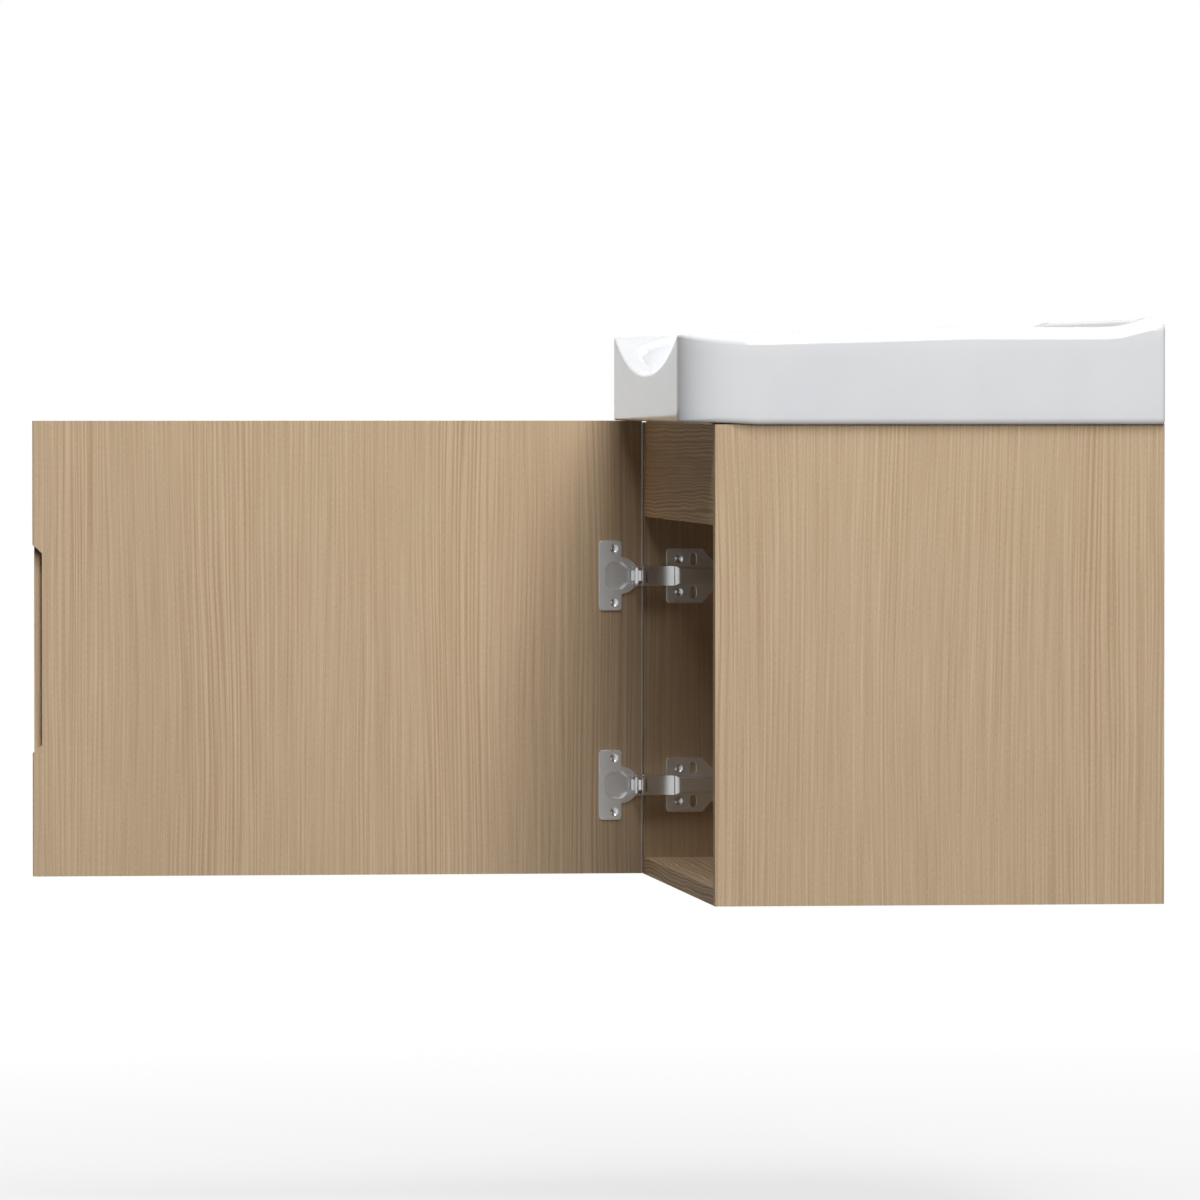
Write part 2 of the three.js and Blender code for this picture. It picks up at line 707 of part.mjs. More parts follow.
function frontRail() {
  const board = block(
    [-innerHalf, -CABINET_DEPTH, CABINET_HEIGHT - FRONT_RAIL_HEIGHT],
    [innerHalf, -CABINET_DEPTH + BOARD, CABINET_HEIGHT],
  );
  return piece("front_rail", cut(board, ...boresIn("front_rail")), "wood");
}

// The upper rail behind the basin, with a notch at each end for the hanging bracket
function upperBackRail() {
  const bottom = CABINET_HEIGHT - UPPER_RAIL_HEIGHT;
  const board = block([-innerHalf, -BOARD, bottom], [innerHalf, 0, CABINET_HEIGHT]);
  const notches = Object.values(sides).map((side) => {
    const ends = [side * (innerHalf - HANGER_NOTCH_WIDTH), side * (innerHalf + OVERRUN)];
    return block(
      [Math.min(...ends), -BOARD - OVERRUN, CABINET_HEIGHT - HANGER_NOTCH_HEIGHT],
      [Math.max(...ends), OVERRUN, CABINET_HEIGHT + OVERRUN],
    );
  });
  return piece("upper_back_rail", cut(board, ...notches, ...boresIn("upper_back_rail")), "wood");
}

function lowerBackRail() {
  const board = block([-innerHalf, -BOARD, BOARD], [innerHalf, 0, BOARD + LOWER_RAIL_HEIGHT]);
  return piece("lower_back_rail", cut(board, ...boresIn("lower_back_rail")), "wood");
}

// A hanging bracket: a plate on the side panel, a web behind it and a tab that hooks over a wall rail
function hanger(sideName) {
  const side = sides[sideName];
  const top = CABINET_HEIGHT - HANGER_TOP_GAP;
  const bottom = top - HANGER_PLATE_HEIGHT;
  const face = side * innerHalf;
  const plateX = face - side * HANGER_SHEET;
  const webX = face - side * HANGER_WEB_WIDTH;
  const tabFront = -HANGER_WALL_GAP - HANGER_SHEET;
  const webBack = tabFront - HANGER_HOOK_GAP;
  const webFront = webBack - HANGER_SHEET;
  const span = (x0, x1, y0, y1, z0, z1) =>
    block([Math.min(x0, x1), y0, z0], [Math.max(x0, x1), y1, z1]);
  const plate = span(face, plateX, webFront - HANGER_PLATE_LENGTH, webBack, bottom, top);
  const web = span(face, webX, webFront, webBack, bottom, top);
  const bridge = span(face, webX, webFront, tabFront + HANGER_SHEET, top - HANGER_SHEET, top);
  const tab = span(face, webX, tabFront, tabFront + HANGER_SHEET, top - HANGER_TAB_HEIGHT, top);
  const holes = hangerScrewPlaces().map(({ y, z }) => {
    const hole = countersink(HANGER_SHEET, y, z, -side);
    return hole.translate([face, 0, 0]);
  });
  return piece(`${sideName}_hanger`, cut(joined(plate, web, bridge, tab), ...holes), "zinc");
}

function hangerScrews(sideName) {
  const side = sides[sideName];
  return hangerScrewPlaces().map(({ y, z }, index) => {
    const place = index === 0 ? "lower" : "upper";
    const screw = woodScrew(`${sideName}_hanger_screw_${place}`, HANGER_SHEET, -side);
    screw.position.set(side * innerHalf, y, z);
    return screw;
  });
}

// The door's frame has X out of its inner face and Y towards the hinge edge, with both at zero there
function doorPanel() {
  const board = block([-BOARD, -doorWidth, DOOR_BOTTOM], [0, 0, DOOR_BOTTOM + DOOR_HEIGHT]);
  const heights = Object.values(HINGE_HEIGHTS);
  const cups = heights.map((height) => {
    const hole = bar(CUP_RADIUS + CUP_FIT, -CUP_DEPTH - CUP_FIT, OVERRUN, ROUND_FACETS);
    return solid(alongX(hole).translate(0, -CUP_FROM_EDGE, height));
  });
  const pilots = heights.flatMap((height) =>
    [-1, 1].map((step) =>
      pilot(0, -FLANGE_SCREW_FROM_EDGE, height + (step * FLANGE_SCREW_PITCH) / 2, -1),
    ),
  );
  const pull = [
    pullCut(PULL_DEPTH, PULL_SLOPE, -BOARD + PULL_LIP, OVERRUN),
    pullCut(PULL_LIP_SETBACK, PULL_LIP_SETBACK, -BOARD - OVERRUN, OVERRUN),
  ];
  return piece("door_panel", cut(board, ...cups, ...pilots, ...pull), "wood");
}

// One milled step of the finger pull in the door's free edge, with sloping ends
function pullCut(depth, slope, x0, x1) {
  const edge = -doorWidth;
  const low = PULL_CENTRE - PULL_LENGTH / 2;
  const high = PULL_CENTRE + PULL_LENGTH / 2;
  const flare = (slope * OVERRUN) / depth;
  const outline = outlineOf([
    [edge - OVERRUN, low - flare],
    [edge + depth, low + slope],
    [edge + depth, high - slope],
    [edge - OVERRUN, high + flare],
  ]);
  return slabX(outline, x0, x1);
}

// A rectangle in Y and Z with rounded corners
function roundedPlate(y0, y1, halfHeight, corner) {
  const outline = new THREE.Shape();
  outline.moveTo(y0 + corner, -halfHeight);
  outline.lineTo(y1 - corner, -halfHeight);
  outline.absarc(y1 - corner, -halfHeight + corner, corner, -Math.PI / 2, 0);
  outline.lineTo(y1, halfHeight - corner);
  outline.absarc(y1 - corner, halfHeight - corner, corner, 0, Math.PI / 2);
  outline.lineTo(y0 + corner, halfHeight);
  outline.absarc(y0 + corner, halfHeight - corner, corner, Math.PI / 2, Math.PI);
  outline.lineTo(y0, -halfHeight + corner);
  outline.absarc(y0 + corner, -halfHeight + corner, corner, Math.PI, 1.5 * Math.PI);
  return outline;
}

// The cup: a pressed pan with a flange on the door's inner face
function hingeCup(name) {
  const drum = solid(alongX(bar(CUP_RADIUS, -CUP_DEPTH, 0, ROUND_FACETS)).translate(0, -CUP_FROM_EDGE, 0));
  const rim = solid(
    alongX(bar(CUP_RIM_RADIUS, 0, FLANGE_THICKNESS, ROUND_FACETS)).translate(0, -CUP_FROM_EDGE, 0),
  );
  const flangeOutline = roundedPlate(
    -FLANGE_START - FLANGE_WIDTH,
    -FLANGE_START,
    FLANGE_HEIGHT / 2,
    FLANGE_CORNER,
  );
  const flange = slabX(flangeOutline, 0, FLANGE_THICKNESS);
  const floor = -CUP_DEPTH + CUP_FLOOR;
  const near = -PAN_START;
  const far = -PAN_START - PAN_LENGTH;
  const narrow = PAN_HALF_WIDTH - PAN_CHAMFER;
  const panOutline = outlineOf([
    [near, -narrow],
    [near, narrow],
    [near - PAN_CHAMFER, PAN_HALF_WIDTH],
    [far + PAN_CHAMFER, PAN_HALF_WIDTH],
    [far, narrow],
    [far, -narrow],
    [far + PAN_CHAMFER, -PAN_HALF_WIDTH],
    [near - PAN_CHAMFER, -PAN_HALF_WIDTH],
  ]);
  const above = FLANGE_THICKNESS + OVERRUN;
  const pan = slabX(panOutline, floor, above);
  const slot = block(
    [floor, near - PAN_CHAMFER, -SLOT_HALF_WIDTH],
    [above, -SLOT_START, SLOT_HALF_WIDTH],
  );
  const notch = block(
    [-NOTCH_DEPTH, -SLOT_START - OVERRUN, -SLOT_HALF_WIDTH],
    [above, -NOTCH_START, SLOT_HALF_WIDTH],
  );
  const holes = [-1, 1].map((step) =>
    countersink(FLANGE_THICKNESS, -FLANGE_SCREW_FROM_EDGE, (step * FLANGE_SCREW_PITCH) / 2, 1),
  );
  const pinHalf = SLOT_HALF_WIDTH + CUP_PIN_BITE + FIT;
  const pinHole = post(-CUP_PIN_DEPTH, -CUP_PIN_FROM_EDGE, PIN_RADIUS + PIN_FIT, -pinHalf, pinHalf);
  return piece(name, cut(joined(drum, rim, flange), pan, slot, notch, pinHole, ...holes), "steel");
}

// A bar of round-ended outline between two pins
function linkOutline([x0, y0], [x1, y1], half) {
  const heading = Math.atan2(y1 - y0, x1 - x0);
  const outline = new THREE.Shape();
  outline.absarc(x0, y0, half, heading + Math.PI / 2, heading + 1.5 * Math.PI);
  outline.absarc(x1, y1, half, heading - Math.PI / 2, heading + Math.PI / 2);
  outline.closePath();
  return outline;
}

// Pin places in the plane of the hinge, from the side panel's inner face and the cabinet's front edge
const outerPin = [OUTER_PIN_IN, -OUTER_PIN_FRONT];
const innerPin = [INNER_PIN_IN, -INNER_PIN_FRONT];
const cupPin = [-DOOR_OPEN_OFFSET - CUP_PIN_DEPTH, -DOOR_OPEN_GAP - CUP_PIN_FROM_EDGE];
const trunnion = [-DOOR_OPEN_OFFSET - TRUNNION_DEPTH, -DOOR_OPEN_GAP - TRUNNION_FROM_EDGE];

function outerLink(name) {
  const half = OUTER_LINK_HALF_WIDTH;
  const web = slabZ(linkOutline(outerPin, cupPin, LINK_HALF_THICKNESS), -half, half);
  const knuckles = [outerPin, cupPin].map(([x, y]) => post(x, y, KNUCKLE_RADIUS, -half, half));
  const reach = half + OVERRUN;
  const holes = [outerPin, cupPin].map(([x, y]) => post(x, y, PIN_RADIUS + PIN_FIT, -reach, reach));
  return piece(name, cut(joined(web, ...knuckles), ...holes), "steel");
}

// The inner link is a fork: a knuckle on its arm pin and two legs that end in short trunnions
function innerLink(name) {
  const outside = INNER_LEG_INSIDE + INNER_LEG_THICKNESS;
  const knuckle = post(...innerPin, KNUCKLE_RADIUS, -outside, outside);
  const legOutline = linkOutline(innerPin, trunnion, INNER_LEG_HALF_THICKNESS);
  const legs = [
    slabZ(legOutline, INNER_LEG_INSIDE, outside),
    slabZ(legOutline, -outside, -INNER_LEG_INSIDE),
  ];
  const root = outside - INNER_LEG_THICKNESS / 2;
  const tip = outside + TRUNNION_LENGTH;
  const studs = [
    post(...trunnion, TRUNNION_RADIUS, root, tip),
    post(...trunnion, TRUNNION_RADIUS, -tip, -root),
  ];
  const hole = post(...innerPin, PIN_RADIUS + PIN_FIT, -outside - OVERRUN, outside + OVERRUN);
  return piece(name, cut(joined(knuckle, ...legs, ...studs), hole), "steel");
}

// The arm's outline seen from below, from the ears in front to the clipped end behind
function armSideOutline() {
  const bendEnd = ARM_HEAD_LENGTH + ARM_BEND_LENGTH;
  const [outerX, outerY] = outerPin;
  const [innerX, innerY] = innerPin;
  return outlineOf([
    [ARM_HEAD_TOP, innerY - EAR_MARGIN],
    [ARM_HEAD_TOP, ARM_HEAD_LENGTH],
    [ARM_REAR_TOP, bendEnd],
    [ARM_REAR_TOP, ARM_END],
    [ARM_UNDERSIDE, ARM_END],
    [ARM_UNDERSIDE, outerY + EAR_STEP_BACK],
    [outerX - EAR_MARGIN, outerY],
    [outerX - EAR_MARGIN + PIN_RADIUS, outerY - EAR_MARGIN],
    [outerX + EAR_MARGIN, outerY - EAR_MARGIN],
    [innerX - EAR_MARGIN, innerY],
    [innerX - EAR_MARGIN + PIN_RADIUS, innerY - EAR_MARGIN],
  ]);
}

// The hollow under the arm's top sheet, open in front of the head's bar
function armHollowOutline() {
  const bendEnd = ARM_HEAD_LENGTH + ARM_BEND_LENGTH;
  const front = innerPin[1] - EAR_MARGIN - OVERRUN;
  return outlineOf([
    [ARM_HEAD_TOP + OVERRUN, front],
    [ARM_HEAD_TOP + OVERRUN, -ARM_BAR_FRONT],
    [ARM_HEAD_TOP - ARM_SHEET, -ARM_BAR_FRONT],
    [ARM_HEAD_TOP - ARM_SHEET, ARM_HEAD_LENGTH],
    [ARM_REAR_TOP - ARM_SHEET, bendEnd],
    [ARM_REAR_TOP - ARM_SHEET, ARM_END + OVERRUN],
    [-OVERRUN, ARM_END + OVERRUN],
    [-OVERRUN, front],
  ]);
}

// The arm's outline seen from the open side, in Y and Z, narrowed by an inset
function armPlanOutline(inset, front, back) {
  const head = ARM_HEAD_HALF_WIDTH - inset;
  const rear = ARM_REAR_HALF_WIDTH - inset;
  const neckEnd = ARM_NECK_START + ARM_NECK_LENGTH;
  return outlineOf([
    [front, -head],
    [ARM_NECK_START, -head],
    [neckEnd, -rear],
    [back, -rear],
    [back, rear],
    [neckEnd, rear],
    [ARM_NECK_START, head],
    [front, head],
  ]);
}

function hingeArm(name) {
  const half = ARM_HEAD_HALF_WIDTH + OVERRUN;
  const front = innerPin[1] - EAR_MARGIN;
  const reach = ARM_HEAD_TOP + OVERRUN + OVERRUN;
  const outside = slabZ(armSideOutline(), -half, half).intersect(
    slabX(armPlanOutline(0, front - OVERRUN, ARM_END + OVERRUN), 0, reach),
  );
  const inside = slabZ(armHollowOutline(), -half, half).intersect(
    slabX(armPlanOutline(ARM_SHEET, front - OVERRUN - OVERRUN, ARM_END + OVERRUN), -OVERRUN, reach),
  );
  const window = block(
    [ARM_HEAD_TOP - ARM_SHEET - OVERRUN, 0, -ARM_WINDOW_HALF_WIDTH],
    [ARM_HEAD_TOP + OVERRUN, ARM_WINDOW_LENGTH, ARM_WINDOW_HALF_WIDTH],
  );
  const pinHoles = [outerPin, innerPin].map(([x, y]) => post(x, y, PIN_RADIUS + PIN_FIT, -half, half));
  const screwHole = solid(
    alongX(bar(ARM_SCREW_RADIUS + FIT, 0, reach, SMALL_FACETS)).translate(0, ARM_END - ARM_SCREW_FROM_END, 0),
  );
  return piece(name, cut(outside, inside, window, screwHole, ...pinHoles), "steel");
}

// The mounting plate: wings with a screw hole and a slot each, and the rail that carries the arm
function mountingPlate(name) {
  const start = PLATE_START;
  const end = start + PLATE_LENGTH;
  const taper = start + PLATE_TAPER_START;
  const taperEnd = taper + PLATE_TAPER_LENGTH;
  const tall = PLATE_HALF_HEIGHT;
  const outline = new THREE.Shape();
  outline.moveTo(start, -tall + PLATE_CORNER);
  outline.absarc(start + PLATE_CORNER, -tall + PLATE_CORNER, PLATE_CORNER, Math.PI, 1.5 * Math.PI);
  outline.lineTo(taper, -tall);
  outline.lineTo(taperEnd, -PLATE_TAIL_HALF_HEIGHT);
  outline.lineTo(end, -PLATE_TAIL_HALF_HEIGHT);
  outline.lineTo(end, PLATE_TAIL_HALF_HEIGHT);
  outline.lineTo(taperEnd, PLATE_TAIL_HALF_HEIGHT);
  outline.lineTo(taper, tall);
  outline.absarc(start + PLATE_CORNER, tall - PLATE_CORNER, PLATE_CORNER, Math.PI / 2, Math.PI);
  const base = slabX(outline, 0, PLATE_THICKNESS);
  const railHalf = ARM_REAR_HALF_WIDTH - ARM_SHEET - FIT;
  const railTop = ARM_REAR_TOP - ARM_SHEET - FIT;
  const rail = block([0, start + RAIL_START, -railHalf], [railTop, end - RAIL_END_MARGIN, railHalf]);
  const screwY = start + PLATE_SCREW_START;
  const slotY = start + PLATE_SLOT_START;
  const cuts = [-1, 1].flatMap((step) => {
    const z = (step * PLATE_SCREW_PITCH) / 2;
    const slotEnd = PLATE_SLOT_LENGTH / 2 - PLATE_SLOT_WIDTH / 2;
    const slot = linkOutline([slotY, z - slotEnd], [slotY, z + slotEnd], PLATE_SLOT_WIDTH / 2);
    return [countersink(PLATE_THICKNESS, screwY, z, 1), slabX(slot, -OVERRUN, PLATE_THICKNESS + OVERRUN)];
  });
  const screwBar = bar(ARM_SCREW_RADIUS + FIT, PLATE_THICKNESS, railTop + OVERRUN, SMALL_FACETS);
  const screwHole = solid(alongX(screwBar).translate(0, ARM_END - ARM_SCREW_FROM_END, 0));
  return piece(name, cut(joined(base, rail), screwHole, ...cuts), "steel");
}

// The screw that holds the arm down on its rail
function armScrew(name) {
  const head = solid(bar(ARM_SCREW_HEAD_RADIUS, 0, ARM_SCREW_HEAD_HEIGHT, SCREW_FACETS));
  const shank = solid(bar(ARM_SCREW_RADIUS, -ARM_SCREW_LENGTH, OVERRUN, SMALL_FACETS));
  const recess = [0, 1].map((turn) => {
    const arm = new THREE.BoxGeometry(RECESS_LENGTH, RECESS_WIDTH, 2 * RECESS_DEPTH);
    return solid(arm.rotateZ((turn * Math.PI) / 2).translate(0, 0, ARM_SCREW_HEAD_HEIGHT));
  });
  const screw = piece(name, alongX(geometryOf(cut(joined(head, shank), ...recess))), "zinc");
  screw.position.set(ARM_REAR_TOP, ARM_END - ARM_SCREW_FROM_END, 0);
  return screw;
}

function pin(name, [x, y], half) {
  const mesh = piece(name, bar(PIN_RADIUS, -half, half, SMALL_FACETS), "zinc");
  mesh.position.set(x, y, 0);
  return mesh;
}

// One hinge: its cabinet side in the side panel's frame, and its cup and cup screws in the door's frame
function hinge(level) {
  const height = HINGE_HEIGHTS[level];
  const cabinetSide = new THREE.Group();
  cabinetSide.position.set(-innerHalf, -CABINET_DEPTH, height);
  const armPinHalf = ARM_HEAD_HALF_WIDTH + PIN_HOLD;
  const plateScrews = [-1, 1].map((step) => {
    const place = step < 0 ? "lower" : "upper";
    const screw = woodScrew(`${level}_plate_screw_${place}`, PLATE_THICKNESS, 1);
    screw.position.set(0, PLATE_START + PLATE_SCREW_START, (step * PLATE_SCREW_PITCH) / 2);
    return screw;
  });
  cabinetSide.add(
    mountingPlate(`${level}_mounting_plate`),
    ...plateScrews,
    hingeArm(`${level}_hinge_arm`),
    armScrew(`${level}_arm_screw`),
    pin(`${level}_outer_arm_pin`, outerPin, armPinHalf),
    pin(`${level}_inner_arm_pin`, innerPin, armPinHalf),
    outerLink(`${level}_outer_link`),
    innerLink(`${level}_inner_link`),
  );
  const doorSide = new THREE.Group();
  doorSide.position.z = height;
  const cupScrews = [-1, 1].map((step) => {
    const place = step < 0 ? "lower" : "upper";
    const screw = woodScrew(`${level}_cup_screw_${place}`, FLANGE_THICKNESS, 1);
    screw.position.set(0, -FLANGE_SCREW_FROM_EDGE, (step * FLANGE_SCREW_PITCH) / 2);
    return screw;
  });
  const cupPinPlace = [-CUP_PIN_DEPTH, -CUP_PIN_FROM_EDGE];
  doorSide.add(
    hingeCup(`${level}_hinge_cup`),
    pin(`${level}_cup_pin`, cupPinPlace, SLOT_HALF_WIDTH + CUP_PIN_BITE),
    ...cupScrews,
  );
  return { cabinetSide, doorSide };
}

const cabinet = new THREE.Group();
cabinet.add(
  basin(),
  sidePanel("left"),
  sidePanel("right"),
  bottomPanel(),
  frontRail(),
  upperBackRail(),
  lowerBackRail(),
  camFittings(),
);
Object.keys(sides).forEach((sideName) => {
  cabinet.add(hanger(sideName), ...hangerScrews(sideName));
});

const door = new THREE.Group();
door.position.set(-innerHalf - DOOR_OPEN_OFFSET, -CABINET_DEPTH - DOOR_OPEN_GAP, 0);
door.add(doorPanel());
Object.keys(HINGE_HEIGHTS).forEach((level) => {
  const { cabinetSide, doorSide } = hinge(level);
  cabinet.add(cabinetSide);
  door.add(doorSide);
});

// The origin is on the wall plane, at the middle of the upper back rail
const unit = new THREE.Group();
unit.position.z = -hangHeight;
unit.add(cabinet, door);

export default unit;
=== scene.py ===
import bmesh
import bpy
import json
import math
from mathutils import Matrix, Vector

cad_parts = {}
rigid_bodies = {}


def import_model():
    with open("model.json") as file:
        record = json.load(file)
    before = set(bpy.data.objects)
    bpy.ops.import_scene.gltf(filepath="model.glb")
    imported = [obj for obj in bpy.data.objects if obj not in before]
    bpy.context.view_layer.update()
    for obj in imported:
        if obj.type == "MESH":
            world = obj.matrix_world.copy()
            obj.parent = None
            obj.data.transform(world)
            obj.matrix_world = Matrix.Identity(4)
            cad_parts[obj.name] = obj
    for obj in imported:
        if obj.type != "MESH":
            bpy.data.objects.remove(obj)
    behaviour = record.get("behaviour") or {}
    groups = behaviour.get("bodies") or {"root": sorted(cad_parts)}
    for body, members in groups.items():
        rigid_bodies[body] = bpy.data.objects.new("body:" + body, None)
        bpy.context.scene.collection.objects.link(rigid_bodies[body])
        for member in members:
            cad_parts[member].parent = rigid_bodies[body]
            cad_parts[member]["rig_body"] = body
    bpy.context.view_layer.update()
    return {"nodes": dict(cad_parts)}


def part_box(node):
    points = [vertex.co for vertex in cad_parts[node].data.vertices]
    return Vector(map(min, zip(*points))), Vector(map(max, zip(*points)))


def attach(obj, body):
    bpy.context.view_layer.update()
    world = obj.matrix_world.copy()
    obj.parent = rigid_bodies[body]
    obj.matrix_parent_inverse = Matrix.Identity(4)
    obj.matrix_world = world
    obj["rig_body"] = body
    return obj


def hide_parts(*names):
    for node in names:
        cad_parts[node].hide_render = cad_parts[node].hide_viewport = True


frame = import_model()
nodes = frame["nodes"]
MM = 0.001
WHITE = (1, 1, 1, 1)

# The camera, fitted to the edges of the cabinet and the open door.

CAMERA_PLACE = Vector((8.6453, -1.4221, 0.0777))
CAMERA_YAW = math.radians(6.194)
CAMERA_PITCH = math.radians(1.303)
CAMERA_LENS = 279.26
CAMERA_SENSOR = 36
CAMERA_REACH = 100

camera_data = bpy.data.cameras.new("camera")
camera_data.sensor_width = CAMERA_SENSOR
camera_data.lens = CAMERA_LENS
camera_data.clip_end = CAMERA_REACH
camera = bpy.data.objects.new("camera", camera_data)
camera.location = CAMERA_PLACE
forward = Vector((
    -math.cos(CAMERA_YAW) * math.cos(CAMERA_PITCH),
    math.sin(CAMERA_YAW) * math.cos(CAMERA_PITCH),
    -math.sin(CAMERA_PITCH),
))
camera.rotation_mode = "QUATERNION"
camera.rotation_quaternion = forward.to_track_quat("-Z", "Y")
bpy.context.scene.collection.objects.link(camera)
bpy.context.scene.camera = camera
bpy.context.scene.view_settings.view_transform = "Standard"


class Nodes:
    """The node tree of a material or a world, with short calls to fill it."""

    def __init__(self, owner):
        owner.use_nodes = True
        self.tree = owner.node_tree
        self.tree.nodes.clear()

    def put(self, socket, value):
        """Links an output to the socket, or sets the socket's own value."""
        if hasattr(value, "is_output"):
            self.tree.links.new(value, socket)
        else:
            socket.default_value = value

    def add(self, kind, sockets, **settings):
        """Adds a node and fills its inputs, which are named or counted."""
        node = self.tree.nodes.new(kind)
        for key, value in settings.items():
            setattr(node, key, value)
        for key, value in sockets.items():
            self.put(node.inputs[key], value)
        return node

    def math(self, operation, a, b=0.0, clamp=False):
        return self.add("ShaderNodeMath", {0: a, 1: b}, operation=operation, use_clamp=clamp).outputs[0]

    def span(self, value, low, high, to_low=0.0, to_high=1.0):
        """Maps the span from low to high onto another one, and holds it there."""
        sockets = {0: value, 1: low, 2: high, 3: to_low, 4: to_high}
        return self.add("ShaderNodeMapRange", sockets).outputs[0]

    def mix(self, factor, a, b):
        return self.add("ShaderNodeMix", {0: factor, 6: a, 7: b}, data_type="RGBA").outputs[2]

    def noise(self, vector, scale, detail, roughness=0.5):
        sockets = {"Vector": vector, "Scale": scale, "Detail": detail, "Roughness": roughness}
        return self.add("ShaderNodeTexNoise", sockets).outputs[0]

    def bump(self, height, strength, distance):
        sockets = {"Strength": strength, "Distance": distance, "Height": height}
        return self.add("ShaderNodeBump", sockets).outputs[0]

    def scaled(self, vector, scale):
        return self.add("ShaderNodeMapping", {"Vector": vector, "Scale": scale}).outputs[0]

    def place(self):
        return self.tree.nodes.new("ShaderNodeTexCoord").outputs["Object"]

    def seen(self):
        """1 for what the camera sees, also in a mirror or through glass, and 0 for light."""
        path = self.tree.nodes.new("ShaderNodeLightPath").outputs
        mirrored = self.math("MAXIMUM", path["Is Glossy Ray"], path["Is Transmission Ray"])
        return self.math("MAXIMUM", path["Is Camera Ray"], mirrored)


def linear(red, green, blue):
    """An sRGB colour of 0 to 255 as linear values."""
    def one(c):
        c /= 255
        return c / 12.92 if c <= 0.04045 else ((c + 0.055) / 1.055) ** 2.4
    return (one(red), one(green), one(blue), 1.0)


def shader(name, build):
    """A material whose shader takes the values and outputs that build gives for its sockets."""
    material = bpy.data.materials.new(name)
    n = Nodes(material)
    principled = n.add("ShaderNodeBsdfPrincipled", build(n))
    n.add("ShaderNodeOutputMaterial", {"Surface": principled.outputs[0]})
    return material


# Wood-grain laminate. Each layer of grain has its fineness across and along the growth lines, its own
# level in the noise, and the noise's detail and roughness.

SLOW_SWAY = (4.5, 1.5, 0.0, 1.0, 0.5)
QUICK_SWAY = (22.0, 5.0, 3.0, 1.0, 0.5)
ZONES = (13.0, 0.9, 7.0, 2.0, 0.5)
DRIFT = (9.0, 0.7, 11.0, 2.0, 0.5)
LINE_SPREAD = (70.0, 0.9, 17.0, 2.0, 0.5)
STREAKS = (430.0, 3.0, 23.0, 2.0, 0.6)
HAIRS = (1150.0, 13.0, 29.0, 1.0, 0.5)
FLECKS = (1500.0, 260.0, 31.0, 1.0, 0.5)
GRAIN_SHARES = ((STREAKS, 1.3), (HAIRS, 0.8), (FLECKS, 0.7), (DRIFT, 0.6))
LINE_SPREAD_SHARE = 5.0
ZONE_SPAN = (0.38, 0.62, 0.15, 1.0)
DEEP_SPAN = (-0.55, -1.0)
DEEP_SHARE = 1.45
EDGE_TURN = 0.8
WOOD_GLOSS = (0.2, 0.8, 0.6, 0.5)
WOOD_BUMP = (0.3, 0.00012)
WOOD_LIGHT = linear(217, 193, 161)
WOOD_DARK = linear(187, 159, 128)
WOOD_LINE = linear(180, 146, 114)


def wood(name, along, flat_axis, edge_axis, pitch, depth, sway, ripple, wave, shine, seed):
    """Laminate with growth lines along one axis, on the board's faces and on its edges."""
    def build(n):
        axes = n.add("ShaderNodeSeparateXYZ", {0: n.place()}).outputs
        across = n.math("ADD", axes[flat_axis], n.math("MULTIPLY", axes[edge_axis], EDGE_TURN))

        def grain(value, layer, stretch=1.0):
            fine, slow, level, detail, roughness = layer
            spot = n.add("ShaderNodeCombineXYZ", {
                "X": n.math("MULTIPLY", value, fine),
                "Y": n.math("MULTIPLY", axes[along], slow * stretch),
                "Z": seed + level,
            })
            return n.noise(spot.outputs[0], 1.0, detail, roughness)

        def centred(value, share):
            return n.math("MULTIPLY", n.math("SUBTRACT", value, 0.5), share)

        slow_sway = centred(grain(across, SLOW_SWAY, wave), sway)
        quick_sway = centred(grain(across, QUICK_SWAY, wave), ripple)
        moved = n.math("ADD", across, n.math("ADD", slow_sway, quick_sway))
        zone = n.span(grain(moved, ZONES), *ZONE_SPAN)
        spread = n.math("MULTIPLY", grain(moved, LINE_SPREAD), LINE_SPREAD_SHARE)
        phase = n.math("ADD", n.math("DIVIDE", moved, pitch), spread)
        line = n.math("SINE", n.math("MULTIPLY", phase, 2 * math.pi))
        tone = n.math("MULTIPLY", line, n.math("MULTIPLY", zone, depth))
        for layer, share in GRAIN_SHARES:
            tone = n.math("ADD", tone, centred(grain(moved, layer), share))
        tone = n.math("ADD", tone, 0.5, clamp=True)
        deepest = n.span(n.math("MULTIPLY", line, zone), *DEEP_SPAN)
        deep = n.math("MULTIPLY", deepest, depth * DEEP_SHARE)
        return {
            "Base Color": n.mix(deep, n.mix(tone, WOOD_DARK, WOOD_LIGHT), WOOD_LINE),
            "Roughness": n.span(tone, *WOOD_GLOSS),
            "Specular IOR Level": shine,
            "Normal": n.bump(tone, *WOOD_BUMP),
        }
    return shader(name, build)


wood_upright = wood("wood_upright", 2, 1, 0, pitch=0.0046, depth=0.24, sway=0.03,
                    ripple=0.003, wave=1.0, shine=0.08, seed=0.0)
wood_across = wood("wood_across", 0, 2, 1, pitch=0.0036, depth=0.5, sway=0.012,
                   ripple=0.005, wave=2.0, shine=0.03, seed=5.37)

# Glaze.

